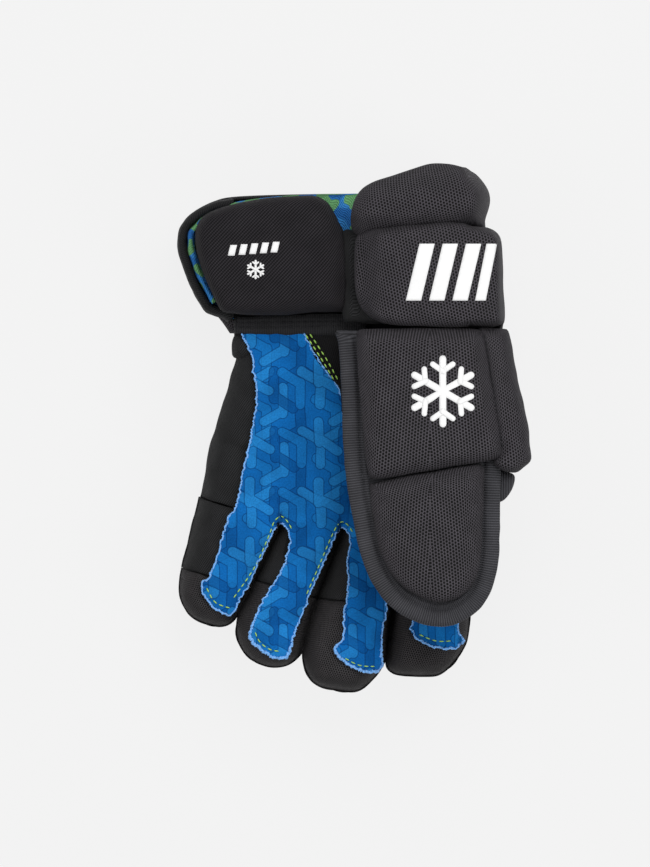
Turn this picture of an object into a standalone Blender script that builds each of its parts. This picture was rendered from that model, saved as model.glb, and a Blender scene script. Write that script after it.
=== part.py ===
"""Padded ice hockey glove for the left hand, youth size.

The glove lies on its back with the palm up and the thumb folded over the palm.
Lengths are in millimetres until a mesh is made. +Y points to the cuff, +X to the
thumb side and +Z out of the palm; the floor is z = 0.
"""
import math

import bmesh
import bpy
from mathutils import Matrix, Vector

MM = 0.001

# Overall heights
PALM_TOP = 40.0
ROLL_TOP = 12.0
INSERT_THICK = 1.2
LINER_THICK = 1.1
FABRIC_THICK = 1.2
GAP = 0.4

# Layers that lie on the back rolls
INSERT_LOW = ROLL_TOP + GAP
LINER_LOW = INSERT_LOW + INSERT_THICK + GAP
LINER_TOP = LINER_LOW + LINER_THICK
WALL_LOW = ROLL_TOP + GAP

# Cuff heights
FLAP_LOW = 45.2
FLAP_TOP = 58.0
RIM_TOP = 44.0
BAND_LOW = 56.0
BAND_TOP = 70.0
RIM_WALL = 4.2

# Finger and thumb stalls, measured down from the palm-side face
STRIP_DEPTH = 1.3
WALL_TOP = STRIP_DEPTH + 0.3
STALL_DEPTH = 15.5
SLEEVE_DEPTH = STALL_DEPTH + LINER_THICK
FINGER_INSERT_DEPTH = SLEEVE_DEPTH + 0.4
FINGER_PAD_DEPTH = FINGER_INSERT_DEPTH + INSERT_THICK + 0.4
SLEEVE_WALL = 1.3

# Hinges
FINGER_TILT = (5.0, 12.0)
THUMB_ROOT = (33.0, 42.0, 42.0)
THUMB_TILT = 10.0
THUMB_TIP_START = 61.0
THUMB_TIP_HEADING = -5.0
THUMB_HINGE = (58.0, 12.0, 42.0)
WRIST_HINGE = (0.0, 45.0, 68.0)
JOINT_GAP = 0.5

# Each finger: knuckle hinge, heading to the pinky side in degrees, distance to its second hinge,
# end of its palm strip, end of its pad, half width of its stall, and how far the pad reaches to
# the pinky side and to the thumb side at the knuckle, the second hinge and the tip.
FINGERS = {
    "pinky": dict(knuckle=(-44.5, -37.0), heading=17.5, middle=31.5, strip=46.0, reach=52.0,
                  stall=8.0, outer=(22.0, 21.0, 18.5), inner=(12.0, 10.0, 8.0), skew=0.25),
    "ring": dict(knuckle=(-17.5, -38.0), heading=16.3, middle=34.0, strip=62.0, reach=67.8,
                 stall=8.4, outer=(11.8, 14.8, 16.2), inner=(11.4, 11.2, 11.6), skew=0.0),
    "middle": dict(knuckle=(8.0, -39.0), heading=5.2, middle=37.0, strip=66.5, reach=75.0,
                   stall=8.6, outer=(11.6, 18.2, 22.0), inner=(10.8, 10.6, 11.4), skew=0.0),
    "index": dict(knuckle=(33.0, -38.0), heading=0.0, middle=38.0, strip=58.5, reach=69.4,
                  stall=8.8, outer=(11.8, 15.4, 17.8), inner=(15.0, 17.0, 15.5), skew=0.0),
}
FINGER_BACK = ((33.0, 29.5), (29.0, 26.0))

# Plan outlines
PRINT_EDGE = [(-47.5, 39.4), (-43.4, 26.0), (-42.2, 12.0), (-43.4, 0.0), (-46.0, -12.0),
              (-48.6, -25.0), (-52.2, -36.4)]
PINKY_SIDE = [(-51.0, 39.0), (-52.2, 33.0), (-51.0, 28.2), (-54.8, 15.0), (-59.4, 0.0),
              (-61.6, -7.6), (-64.0, -20.0), (-66.8, -33.0)]
CUFF_RIM = [(-55.5, 47.8), (-64.0, 50.2), (-70.0, 60.0), (-74.0, 70.0), (-76.1, 80.0),
            (-74.0, 88.0), (-70.0, 92.7), (-62.0, 97.6), (-54.0, 99.2)]
FLAP = [(-55.0, 48.5), (-62.0, 60.0), (-66.0, 70.0), (-67.8, 80.0), (-67.2, 87.0), (-63.5, 92.0),
        (-57.0, 95.4), (-40.0, 98.4), (-17.0, 99.8), (-11.6, 97.4), (-7.0, 90.0), (-3.6, 82.0),
        (-2.4, 70.0), (-1.0, 50.4), (-15.0, 50.0), (-35.0, 48.6)]
THUMB_UPPER = [(2.6, 41.4), (3.4, 12.0), (5.6, -10.0), (6.4, -18.6), (20.0, -17.6), (45.0, -15.4),
               (63.2, -13.8), (61.8, 0.0), (59.6, 17.0), (55.6, 41.4)]
THUMB_SIDE = [(56.4, 41.4), (60.2, 18.0), (62.6, 0.0), (64.0, -13.6), (68.4, -15.6), (73.6, -16.0),
              (76.4, -12.0), (75.0, 0.0), (71.0, 20.0), (66.4, 41.4)]
THUMB_LOWER = [(7.4, -21.0), (8.0, -35.0), (9.5, -45.0), (12.2, -55.0), (17.4, -64.5),
               (25.0, -71.2), (38.0, -74.8), (47.6, -71.6), (53.0, -63.0), (55.2, -45.0),
               (56.0, -17.0)]
THUMB_RIM = [(-3.0, -21.6), (-1.2, -34.0), (2.2, -51.0), (8.4, -67.0), (18.6, -79.2),
             (35.0, -85.4), (47.8, -82.4), (57.8, -72.6), (62.4, -55.0), (63.2, -35.0),
             (68.2, -28.0), (69.4, -23.0), (67.6, -18.2), (62.0, -16.4)]

MATERIALS = {
    "black_mesh": ((0.045, 0.043, 0.048), 0.85),
    "black_fabric": ((0.018, 0.018, 0.020), 0.80),
    "flap_fabric": ((0.022, 0.021, 0.024), 0.70),
    "grosgrain": ((0.040, 0.041, 0.046), 0.65),
    "palm_print": ((0.010, 0.120, 0.370), 0.70),
    "lining": ((0.030, 0.180, 0.480), 0.75),
    "gusset": ((0.012, 0.012, 0.013), 0.90),
    "liner": ((0.030, 0.031, 0.034), 0.90),
    "insert": ((0.620, 0.620, 0.600), 0.45),
}

made_materials = {}
body_empties = {}


def clear_scene():
    for item in list(bpy.data.objects):
        bpy.data.objects.remove(item, do_unlink=True)


def material(name):
    if name not in made_materials:
        colour, roughness = MATERIALS[name]
        made = bpy.data.materials.new(name)
        made.use_nodes = True
        shader = made.node_tree.nodes["Principled BSDF"]
        shader.inputs["Base Color"].default_value = (*colour, 1.0)
        shader.inputs["Roughness"].default_value = roughness
        shader.inputs["Metallic"].default_value = 0.0
        made_materials[name] = made
    return made_materials[name]


def add_body(name, origin):
    """Empty on the body's joint axis; the body's pieces are its children."""
    empty = bpy.data.objects.new("joint_" + name, None)
    empty.location = Vector(origin) * MM
    bpy.context.collection.objects.link(empty)
    body_empties[name] = empty


def add_mesh(name, body, points, faces, material_name):
    """One closed solid from points in millimetres, smooth where its faces meet gently."""
    empty = body_empties[body]
    mesh = bpy.data.meshes.new(name)
    work = bmesh.new()
    corners = [work.verts.new(Vector(point) * MM - empty.location) for point in points]
    for face in faces:
        work.faces.new([corners[index] for index in face])
    bmesh.ops.recalc_face_normals(work, faces=work.faces)
    work.to_mesh(mesh)
    work.free()
    mesh.shade_smooth()
    mesh.set_sharp_from_angle(angle=math.radians(50))
    mesh.materials.append(material(material_name))
    piece = bpy.data.objects.new(name, mesh)
    bpy.context.collection.objects.link(piece)
    piece.parent = empty


def loft(name, body, rings, material_name):
    """Solid through rings of equal length, with its first and last ring filled."""
    size = len(rings[0])
    points = [point for ring in rings for point in ring]
    faces = [list(range(size)), list(range(len(points) - size, len(points)))]
    for level in range(len(rings) - 1):
        for index in range(size):
            beside = (index + 1) % size
            low, high = level * size, (level + 1) * size
            faces.append([low + index, low + beside, high + beside, high + index])
    add_mesh(name, body, points, faces, material_name)


def anticlockwise(outline):
    area = sum(a[0] * b[1] - b[0] * a[1] for a, b in zip(outline, outline[1:] + outline[:1]))
    return list(outline) if area > 0 else list(reversed(outline))


def inset(outline, distance):
    """Anticlockwise outline with each corner moved inwards along its bisector."""
    moved = []
    for index, corner in enumerate(outline):
        here = Vector(corner)
        arrive = (here - Vector(outline[index - 1])).normalized()
        leave = (Vector(outline[(index + 1) % len(outline)]) - here).normalized()
        inward = Vector((-arrive.y - leave.y, arrive.x + leave.x)).normalized()
        stretch = max(0.6, inward.dot(Vector((-arrive.y, arrive.x))))
        moved.append(tuple(here + inward * distance / stretch))
    return moved


def pad(name, body, outline, low, high, edge, material_name, frame=None, low_edge=None):
    """Panel over a plan outline, with its edges rounded off; low and high may be functions."""
    outline = anticlockwise(outline)
    low_edge = edge if low_edge is None else low_edge
    low_at = low if callable(low) else lambda x, y: low
    high_at = high if callable(high) else lambda x, y: high
    thinnest = min(high_at(x, y) - low_at(x, y) for x, y in outline)
    fit = min(1.0, 0.85 * thinnest / max(edge + low_edge, 0.1))
    edge, low_edge = edge * fit, low_edge * fit
    levels = [(low_edge, low_at, 0.0), (0.0, low_at, low_edge), (0.0, high_at, -edge),
              (edge * 0.35, high_at, -edge * 0.3), (edge, high_at, 0.0)]
    if edge < 0.5:
        levels = [(0.0, low_at, 0.0), (0.0, high_at, 0.0)]
    rings = []
    for distance, height, shift in levels:
        ring = inset(outline, distance) if distance else outline
        rings.append([(x, y, height(x, y) + shift) for x, y in ring])
    if frame:
        rings = [[frame @ Vector(point) for point in ring] for ring in rings]
    loft(name, body, rings, material_name)


def heading_frame(origin, heading, tilt):
    """Frame of a digit: first axis along it, second to the thumb side, third out of the palm."""
    turn, rise = math.radians(heading), math.radians(tilt)
    forward = Vector((-math.sin(turn) * math.cos(rise), -math.cos(turn) * math.cos(rise),
                      math.sin(rise)))
    across = Vector((math.cos(turn), -math.sin(turn), 0.0))
    out = forward.cross(across)
    frame = Matrix((forward, across, out)).transposed().to_4x4()
    frame.translation = Vector(origin)
    return frame


def plan_to_frame(outline, frame, height=0.0):
    """Plan points as a digit's own first and second coordinates, at a height on its third axis."""
    forward, across = frame.col[0].xyz, frame.col[1].xyz
    origin = frame.translation + frame.col[2].xyz * height
    flat = Vector((forward.x, forward.y))
    placed = []
    for x, y in outline:
        offset = Vector((x - origin.x, y - origin.y))
        placed.append((offset.dot(flat) / flat.length_squared, offset.dot(across.xy)))
    return placed


def trough(name, body, frame, start, end, half, top, depth, floor, material_name):
    """Open channel along a digit: two side walls joined by a floor, for start < u < end."""
    wall = SLEEVE_WALL
    section = [(-half, top), (-half, depth + floor), (half, depth + floor), (half, top),
               (half + wall, top), (half + wall, depth), (-half - wall, depth),
               (-half - wall, top)]
    rings = [[frame @ Vector((u, v, w)) for v, w in section] for u in (start, end)]
    loft(name, body, rings, material_name)


def round_end(start, end, outer, inner, count=7):
    """Rounded end of a digit: points from the pinky side round the tip to the thumb side."""
    centre, half = (inner - outer) / 2, (inner + outer) / 2
    angles = [math.pi * (step / (count - 1) - 0.5) for step in range(count)]
    return [(start + (end - start) * math.cos(angle) ** 0.75, centre + half * math.sin(angle))
            for angle in angles]


def horseshoe(start, end, half, wall):
    """Wall that runs along both sides of a digit and round its tip, open at the start."""
    shoulder = end - half
    outside = [(start, -half - wall), *round_end(shoulder, end, half + wall, half + wall),
               (start, half + wall)]
    inside = [(start, half), *reversed(round_end(shoulder, end - wall, half, half)),
              (start, -half)]
    return outside + inside


def finger_frames(finger):
    near = heading_frame((*finger["knuckle"], PALM_TOP), finger["heading"], FINGER_TILT[0])
    second = near @ Vector((finger["middle"], 0.0, 0.0))
    return near, heading_frame(second, finger["heading"], FINGER_TILT[1])


def back_surface(start_depth, end_depth, length):
    return lambda u, v: -start_depth + (start_depth - end_depth) * min(max(u / length, 0), 1)


def make_finger(name, finger):
    near, far = finger_frames(finger)
    middle, stall = finger["middle"], finger["stall"]
    outer, inner, skew = finger["outer"], finger["inner"], finger["skew"]
    body, tip_body = name + "_base", name + "_tip"
    add_body(body, near.translation)
    add_body(tip_body, far.translation)
    strip_half = stall + SLEEVE_WALL
    start, end = JOINT_GAP, middle - JOINT_GAP

    lean = skew * (outer[0] - strip_half)
    base_pad = [(start, inner[0]), (start, -strip_half), (start + lean, -outer[0]),
                (end + lean, -outer[1]), (end, -strip_half), (end, inner[1])]
    pad(name + "_base_pad", body, base_pad, back_surface(*FINGER_BACK[0], middle),
        -FINGER_PAD_DEPTH, 3.0, "black_mesh", near, low_edge=5.0)
    plate = [(start + 3, -strip_half), (end - 3, -strip_half), (end - 3, strip_half - 1),
             (start + 3, strip_half - 1)]
    pad(name + "_insert", body, plate, -FINGER_INSERT_DEPTH - INSERT_THICK,
        -FINGER_INSERT_DEPTH, 0.0, "insert", near)
    trough(name + "_base_sleeve", body, near, start, end, stall, -WALL_TOP, -SLEEVE_DEPTH,
           LINER_THICK, "gusset")
    strip = [(start, -strip_half), (end, -strip_half), (end, strip_half), (start, strip_half)]
    pad(name + "_base_strip", body, strip, -STRIP_DEPTH, 0.0, 0.0, "palm_print", near)

    # Reach and strip are plan distances: the pad's tip hangs below the tilted palm side.
    rise, tip_rise = (math.radians(tilt) for tilt in FINGER_TILT)
    start_plan = middle * math.cos(rise)
    reach = (finger["reach"] - start_plan - SLEEVE_DEPTH * math.sin(tip_rise)) / math.cos(tip_rise)
    strip_end = (finger["strip"] - start_plan) / math.cos(tip_rise)
    shoulder = reach - 0.62 * (outer[2] + inner[2]) / 2
    tip_pad = [(start, inner[1]), (start, -strip_half), (start + lean, -outer[1]),
               *round_end(shoulder, reach, outer[2], inner[2], 9)]
    pad(name + "_tip_pad", tip_body, tip_pad, back_surface(*FINGER_BACK[1], reach),
        -SLEEVE_DEPTH - 0.4, 4.0, "black_mesh", far, low_edge=4.0)
    pad(name + "_tip_sleeve", tip_body, horseshoe(start, strip_end, stall, SLEEVE_WALL),
        -SLEEVE_DEPTH, -WALL_TOP, 0.0, "gusset", far)
    tip_strip = [(start, strip_half), (start, -strip_half),
                 *round_end(strip_end - stall, strip_end, strip_half, strip_half)]
    pad(name + "_tip_strip", tip_body, tip_strip, -STRIP_DEPTH, 0.0, 0.0, "palm_print", far)


def knuckle_line(back=0.0):
    """Plan points along the hand's side of the four knuckle hinges, pinky side first."""
    points = []
    for finger in FINGERS.values():
        frame = finger_frames(finger)[0]
        for v in (-finger["outer"][0] + 0.4, finger["inner"][0]):
            if finger is FINGERS["pinky"] and v < 0:
                v = -finger["stall"] - SLEEVE_WALL
            point = frame @ Vector((-JOINT_GAP - back, v, 0.0))
            points.append((point.x, point.y))
    return points


def make_hand():
    add_body("hand", (0.0, 0.0, 0.0))
    side, right = PINKY_SIDE, 51.0
    first = [(side[0][0] + 2, 39.6), (side[2][0] + 1, 28.0), (side[3][0] + 1, 17.6),
             (right, 17.6), (right, 39.6)]
    second = [(side[3][0] + 1, 16.8), (side[4][0] + 1.5, 0.0), (side[5][0] + 1.5, -7.2),
              (right, -7.2), (right, 16.8)]
    knuckles = knuckle_line(1.0)
    third = [(side[5][0] + 1.5, -8.0), (side[7][0] + 2, -31.0), *knuckles[:-1],
             (right - 1, knuckles[-1][1]), (right, -8.0)]
    pad("back_roll_wrist", "hand", first, 0.0, ROLL_TOP, 2.5, "black_mesh", low_edge=4.0)
    pad("back_roll_middle", "hand", second, 0.0, ROLL_TOP, 2.5, "black_mesh", low_edge=4.0)
    pad("back_roll_knuckle", "hand", third, lambda x, y: max(0.0, (-8.0 - y) * 0.1), ROLL_TOP,
        2.5, "black_mesh", low_edge=3.0)
    plate = [(-41.6, 37.0), (-41.0, 2.0), (-45.6, -22.0), (48.0, -22.0), (48.0, 37.0)]
    pad("back_insert", "hand", plate, INSERT_LOW, INSERT_LOW + INSERT_THICK, 0.0, "insert")
    pad("hand_liner", "hand", plate, LINER_LOW, LINER_TOP, 0.0, "liner")

    print_low = [(x - GAP, y) for x, y in PRINT_EDGE]
    split = print_low[3][0] - 1.4
    wrist_side = [side[0], side[1], (side[2][0], 28.6), (print_low[1][0], 28.6),
                  (print_low[0][0], 39.0)]
    palm_side = [(side[2][0] - 0.4, 27.8), side[3], side[4], (side[5][0], -7.2), (split, -7.2),
                 print_low[3], print_low[2], (print_low[1][0], 27.8)]
    pinky = FINGERS["pinky"]
    frame = finger_frames(pinky)[0]
    strip_half = pinky["stall"] + SLEEVE_WALL
    lean = pinky["skew"] * (pinky["outer"][0] - strip_half)
    corners = [frame @ Vector((-JOINT_GAP + lean, -pinky["outer"][0], 0.0)),
               frame @ Vector((-JOINT_GAP, -strip_half - GAP, 0.0))]
    knuckle_side = [(side[5][0], -8.0), side[6], *[(c.x, c.y) for c in corners],
                    print_low[5], print_low[4], (split, -8.0)]
    for name, outline in (("wrist", wrist_side), ("palm", palm_side), ("knuckle", knuckle_side)):
        pad("pinky_side_" + name, "hand", outline, WALL_LOW + (8.6 if name == "knuckle" else 0),
            PALM_TOP - 0.4, 2.0, "black_fabric")
    wall = [(right - 0.4, -34.0), (right + 3.6, -34.0), (right + 3.6, 40.0), (right - 0.4, 40.0)]
    pad("index_side_wall", "hand", wall, WALL_LOW + 9.0, PALM_TOP - 0.6, 1.2, "black_fabric")

    palm_low = PALM_TOP - FABRIC_THICK
    palm = [*PRINT_EDGE[:-1], *knuckle_line(), (49.8, -36.0), (49.8, -12.0), (8.0, -10.0),
            (-4.8, -4.0), (-5.4, 16.0), (-8.4, 20.4), (-15.4, 28.4), (-21.6, 39.4)]
    pad("palm_panel", "hand", palm, palm_low, PALM_TOP, 0.0, "palm_print")
    gusset = [(-20.8, 39.4), (-14.8, 29.0), (-7.8, 21.0), (-4.6, 16.4), (-4.0, -3.4),
              (2.0, -3.4), (3.0, 39.4)]
    pad("thumb_gusset", "hand", gusset, palm_low, PALM_TOP, 0.0, "gusset")
    binding = [(-50.6, 40.0), (-20.0, 39.8), (5.0, 39.8), (5.0, 48.6), (-48.6, 48.6)]
    pad("heel_binding", "hand", binding, palm_low - 1.4, PALM_TOP + 1.6, 1.2, "grosgrain")


def moved_right(path, distance):
    """Path moved to its right-hand side."""
    inner = []
    for index, corner in enumerate(path):
        before, after = path[max(index - 1, 0)], path[min(index + 1, len(path) - 1)]
        along = (Vector(after) - Vector(before)).normalized()
        inner.append(tuple(Vector(corner) + Vector((along.y, -along.x)) * distance))
    return inner


def corner_section(left, right, inner, low, under, top, round_off):
    """Plate on top that turns down the thumb side: section in x and z, as a closed loop."""
    middle = round_off * 0.3
    return [(left, under + 3), (left, top - 4), (left + 4, top), (right - round_off, top),
            (right - middle, top - middle), (right, top - round_off), (right, low),
            (inner, low), (inner, under - 3), (inner - 4, under), (left + 3, under)]


def make_cuff():
    add_body("cuff", WRIST_HINGE)
    right = 56.0
    near = [(-53.5, 41.0), (-58.0, 50.0), (-66.5, 60.0), (-71.0, 72.2), (right, 72.2),
            (right, 41.0)]
    far = [(-71.4, 73.0), (-73.0, 80.0), (-71.0, 88.0), (-66.5, 93.5), (-54.0, 98.4),
           (-50.0, 99.2), (right - 4, 99.2), (right, 95.0), (right, 73.0)]
    pad("cuff_back_roll_wrist", "cuff", near, 0.0, ROLL_TOP, 2.5, "black_mesh", low_edge=4.0)
    pad("cuff_back_roll_end", "cuff", far, 0.0, ROLL_TOP, 2.5, "black_mesh", low_edge=4.0)
    plate = [(-50.0, 50.0), (-62.0, 64.0), (-65.0, 88.0), (-50.0, 96.0), (48.0, 96.0),
             (48.0, 46.0)]
    pad("cuff_insert", "cuff", plate, INSERT_LOW, INSERT_LOW + INSERT_THICK, 0.0, "insert")
    rim = CUFF_RIM + list(reversed(moved_right(CUFF_RIM, RIM_WALL)))
    pad("cuff_pinky_wall", "cuff", rim, WALL_LOW, RIM_TOP, 1.6, "black_fabric")
    edge = [(-53.0, 99.7), (50.8, 99.7), (50.8, 101.0), (-53.0, 101.0)]
    pad("cuff_edge_binding", "cuff", edge, 1.5, LINER_TOP - 0.4, 0.0, "grosgrain")

    stations = [(-51.6, 49.6), *moved_right(CUFF_RIM, RIM_WALL + GAP), (-50.4, 98.8)]
    rings = []
    for left, y in stations:
        wall = left + LINER_THICK
        end, end_wall = 50.4, 50.4 - LINER_THICK
        section = [(left, RIM_TOP - 1.5), (left, LINER_LOW), (end, LINER_LOW),
                   (end, RIM_TOP - 1.5), (end_wall, RIM_TOP - 1.5), (end_wall, LINER_TOP),
                   (wall, LINER_TOP), (wall, RIM_TOP - 1.5)]
        rings.append([(x, y, z) for x, z in section])
    loft("cuff_lining", "cuff", rings, "lining")
    pad("palm_flap", "cuff", FLAP, FLAP_LOW, FLAP_TOP, 4.5, "flap_fabric", low_edge=2.0)

    band = [(42.8, 60.0, 14.0), (46.5, 64.6, 12.0), (70.0, 64.3, 12.0), (80.0, 63.8, 12.0),
            (86.6, 60.5, 14.0)]
    rings = []
    for y, end, round_off in band:
        lowered = 2.5 if y in (band[0][0], band[-1][0]) else 0.0
        section = corner_section(5.0, end, 51.4, WALL_LOW, BAND_LOW, BAND_TOP - lowered,
                                 round_off)
        rings.append([(x, y, z) for x, z in section])
    loft("cuff_band", "cuff", rings, "black_mesh")

    roll = [(87.2, 0.6, 55.0, WALL_LOW, 66.0), (96.0, 0.2, 58.7, WALL_LOW, 70.0),
            (103.0, 3.4, 57.8, 22.0, 70.0), (109.0, 18.5, 53.2, 44.0, 68.0),
            (114.2, 33.0, 47.0, 48.0, 62.0)]
    rings = []
    for y, left, end, low, top in roll:
        inner = min(51.4, end - 3.0)
        section = corner_section(left, end, inner, low, BAND_LOW - 4, top, 4.5)
        rings.append([(x, y, z) for x, z in section])
    loft("top_roll", "cuff", rings, "black_mesh")


def make_thumb():
    near = heading_frame(THUMB_ROOT, 0.0, THUMB_TILT)
    crease = near @ Vector((THUMB_TIP_START, 0.0, 0.0))
    far = heading_frame(crease, THUMB_TIP_HEADING, THUMB_TILT)
    add_body("thumb", THUMB_HINGE)
    add_body("thumb_tip", crease)
    # The thumb's pads lie on the side away from the palm, so heights here rise from the strip.
    strip, wall, liner, sleeve = STRIP_DEPTH, WALL_TOP, 12.8, 13.8
    plate, cushion, stall = sleeve + 0.4, sleeve + 0.4 + INSERT_THICK + 0.4, 18.0
    pad_top, tip_top = cushion + 11.5, cushion + 9.5

    pad("thumb_upper_pad", "thumb", plan_to_frame(THUMB_UPPER, near, pad_top), cushion,
        pad_top, 4.0, "black_mesh", near, low_edge=1.5)
    inner_plan = inset(anticlockwise(plan_to_frame(THUMB_UPPER, near, pad_top)), 6.0)
    pad("thumb_upper_insert", "thumb", inner_plan, plate, plate + INSERT_THICK, 0.0, "insert",
        near)
    pad("thumb_side_pad", "thumb", plan_to_frame(THUMB_SIDE, near, pad_top), 1.0,
        cushion + 7.0, 2.6, "black_mesh", near)
    tape = [(-7.2, 41.0), (-5.0, 20.0), (-4.2, -4.0), (-3.2, -18.8), (5.4, -18.8),
            (4.8, -10.0), (2.6, 12.0), (1.8, 41.0)]
    tape_low, tape_top = sleeve + 0.5, cushion + 2.0
    pad("thumb_upper_binding", "thumb", plan_to_frame(tape, near, pad_top), tape_low, tape_top,
        1.2, "grosgrain", near)
    length = THUMB_TIP_START - 2.2
    section = [(-stall, wall), (-stall, liner), (stall, liner), (stall, wall),
               (stall + SLEEVE_WALL, wall), (stall + SLEEVE_WALL, sleeve),
               (-stall - SLEEVE_WALL, sleeve), (-stall - SLEEVE_WALL, wall)]
    rings = [[near @ Vector((u, v, w)) for v, w in section] for u in (3.0, length)]
    loft("thumb_sleeve", "thumb", rings, "gusset")
    half = stall + SLEEVE_WALL
    strip_plan = [(46.0, -half), (length, -half), (length, half), (46.0, half)]
    pad("thumb_strip", "thumb", strip_plan, 0.0, strip, 0.0, "palm_print", near)

    pad("thumb_lower_pad", "thumb_tip", plan_to_frame(THUMB_LOWER, far, tip_top), cushion,
        tip_top, 4.0, "black_mesh", far, low_edge=1.5)
    inner_plan = inset(anticlockwise(plan_to_frame(THUMB_LOWER, far, tip_top)), 6.0)
    pad("thumb_lower_insert", "thumb_tip", inner_plan, plate, plate + INSERT_THICK, 0.0,
        "insert", far)
    inside = inset(anticlockwise(THUMB_LOWER), -0.7)
    inside = [point for point in inside if point[1] < -18.0]
    rim = THUMB_RIM + [(57.4, -18.6)] + sorted_round(inside) + [(6.4, -22.4)]
    pad("thumb_tip_binding", "thumb_tip", plan_to_frame(rim, far, tip_top), tape_low, tape_top,
        0.9, "grosgrain", far)
    end = 58.0
    pad("thumb_tip_sleeve", "thumb_tip", horseshoe(0.8, end, 17.0, SLEEVE_WALL), wall, sleeve,
        0.0, "gusset", far)
    half = 17.0 + SLEEVE_WALL
    tip_strip = [(0.8, half), (0.8, -half), *round_end(end - half, end, half, half)]
    pad("thumb_tip_strip", "thumb_tip", tip_strip, 0.0, strip, 0.0, "palm_print", far)


def sorted_round(points):
    """Points of the lower pad's edge in order from the thumb side round the tip to the palm."""
    centre = Vector((32.0, -30.0))
    return sorted(points, key=lambda p: -math.atan2(p[0] - centre.x, centre.y - p[1]))


def main():
    clear_scene()
    make_hand()
    make_cuff()
    make_thumb()
    for name, finger in FINGERS.items():
        make_finger(name, finger)


main()
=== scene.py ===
"""Looks of the padded ice hockey glove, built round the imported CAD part.

Lengths are in millimetres until a mesh is made, in the part's own frame: +Y points to the
cuff, +X to the thumb side and +Z out of the palm. The floor is z = 0.
"""
import math
import random

import bpy
import numpy as np
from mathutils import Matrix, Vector, noise
from mathutils.bvhtree import BVHTree
from mathutils.geometry import delaunay_2d_cdt


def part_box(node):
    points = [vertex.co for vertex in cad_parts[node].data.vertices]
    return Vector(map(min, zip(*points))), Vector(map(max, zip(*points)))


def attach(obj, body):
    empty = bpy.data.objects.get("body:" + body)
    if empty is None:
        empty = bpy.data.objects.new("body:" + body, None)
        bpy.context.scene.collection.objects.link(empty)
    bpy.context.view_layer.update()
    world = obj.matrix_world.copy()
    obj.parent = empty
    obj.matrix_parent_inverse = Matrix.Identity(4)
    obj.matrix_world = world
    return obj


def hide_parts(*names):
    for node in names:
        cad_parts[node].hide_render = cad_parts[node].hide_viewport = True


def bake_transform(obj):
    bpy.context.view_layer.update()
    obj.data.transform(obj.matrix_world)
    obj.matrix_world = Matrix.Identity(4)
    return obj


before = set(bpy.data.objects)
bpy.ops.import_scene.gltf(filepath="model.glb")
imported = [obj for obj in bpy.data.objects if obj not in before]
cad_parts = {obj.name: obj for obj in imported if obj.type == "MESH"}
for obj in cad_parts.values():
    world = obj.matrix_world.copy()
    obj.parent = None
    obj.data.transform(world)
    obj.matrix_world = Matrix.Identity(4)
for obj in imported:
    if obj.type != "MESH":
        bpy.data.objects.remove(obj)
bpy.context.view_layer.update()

MM = 0.001
CAMERA_LENS = 500.0
FRAME_HEIGHT = 0.3745
PALM_TOP = 40.0
THUMB_BASE = (42.0, 42.0)
THUMB_SLOPE = math.tan(math.radians(10.0))
THUMB_CREASE_Y = -20.6
CAMERA_PLACE = (-0.0121, -0.0026)
# Each area light's name, place and size in metres, and power in watts
LIGHTS = (("key", (0.25, 0.75, 1.15), 0.9, 13.0), ("fill", (-0.9, -0.2, 1.0), 0.8, 5.0),
          ("rim", (0.9, -0.4, 0.9), 0.5, 5.0))
FLOOR_SIZE = 3.0
FLOOR_GLOW = 0.83
WORLD_GLOW = 0.45

# Knuckle hinge, heading to the pinky side in degrees, distance to the second hinge and half
# width of the palm strip of each finger, as in the part.
FINGERS = {
    "pinky": dict(knuckle=(-44.5, -37.0), heading=17.5, middle=31.5, half=9.3),
    "ring": dict(knuckle=(-17.5, -38.0), heading=16.3, middle=34.0, half=9.7),
    "middle": dict(knuckle=(8.0, -39.0), heading=5.2, middle=37.0, half=9.9),
    "index": dict(knuckle=(33.0, -38.0), heading=0.0, middle=38.0, half=10.1),
}
FINGER_SLOPES = (math.tan(math.radians(5.0)), math.tan(math.radians(12.0)))
FINGER_DEPTHS = ((33.0, 29.5), (29.0, 26.0))
FINGER_ROLL = 9.5
FINGER_SHOULDER = 17.0
CLOTH_FRAMES = 16
CLOTH_SETTINGS = dict(quality=4, mass=0.3, tension_stiffness=12.0, compression_stiffness=12.0,
                      shear_stiffness=5.0, bending_stiffness=0.6, use_pressure=True)

# Plan outlines read off the photograph
PINKY_OUTSIDE = [(-65.6, -24.0), (-67.0, -33.0), (-69.5, -43.0), (-71.2, -50.0), (-73.5, -58.0),
                 (-75.0, -66.0), (-75.2, -71.0), (-74.0, -76.0), (-71.0, -80.5),
                 (-66.0, -84.0), (-60.0, -86.0), (-55.0, -85.6), (-51.6, -83.6)]
PINKY_RING = [(-49.0, -79.6), (-46.2, -74.0), (-41.4, -64.0), (-36.8, -54.6), (-33.0, -46.0),
              (-31.3, -38.0), (-31.2, -30.0)]
RING_TIP = [(-50.6, -88.6), (-48.6, -95.0), (-45.0, -99.5), (-40.0, -102.5), (-34.0, -103.7),
            (-28.0, -102.6), (-23.6, -99.0)]
RING_MIDDLE = [(-21.4, -94.0), (-18.8, -83.6), (-14.7, -72.2), (-10.2, -61.0), (-6.4, -50.4),
               (-4.9, -40.0), (-4.6, -30.0)]
MIDDLE_TIP = [(-21.6, -101.0), (-19.5, -107.5), (-15.4, -111.4), (-8.0, -113.6), (-2.0, -114.4),
              (4.0, -113.0), (9.0, -108.4), (12.6, -103.2)]
MIDDLE_INDEX = [(14.8, -98.0), (15.4, -92.0), (17.3, -78.0), (19.5, -62.0), (21.1, -48.0),
                (21.4, -30.0)]
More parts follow.
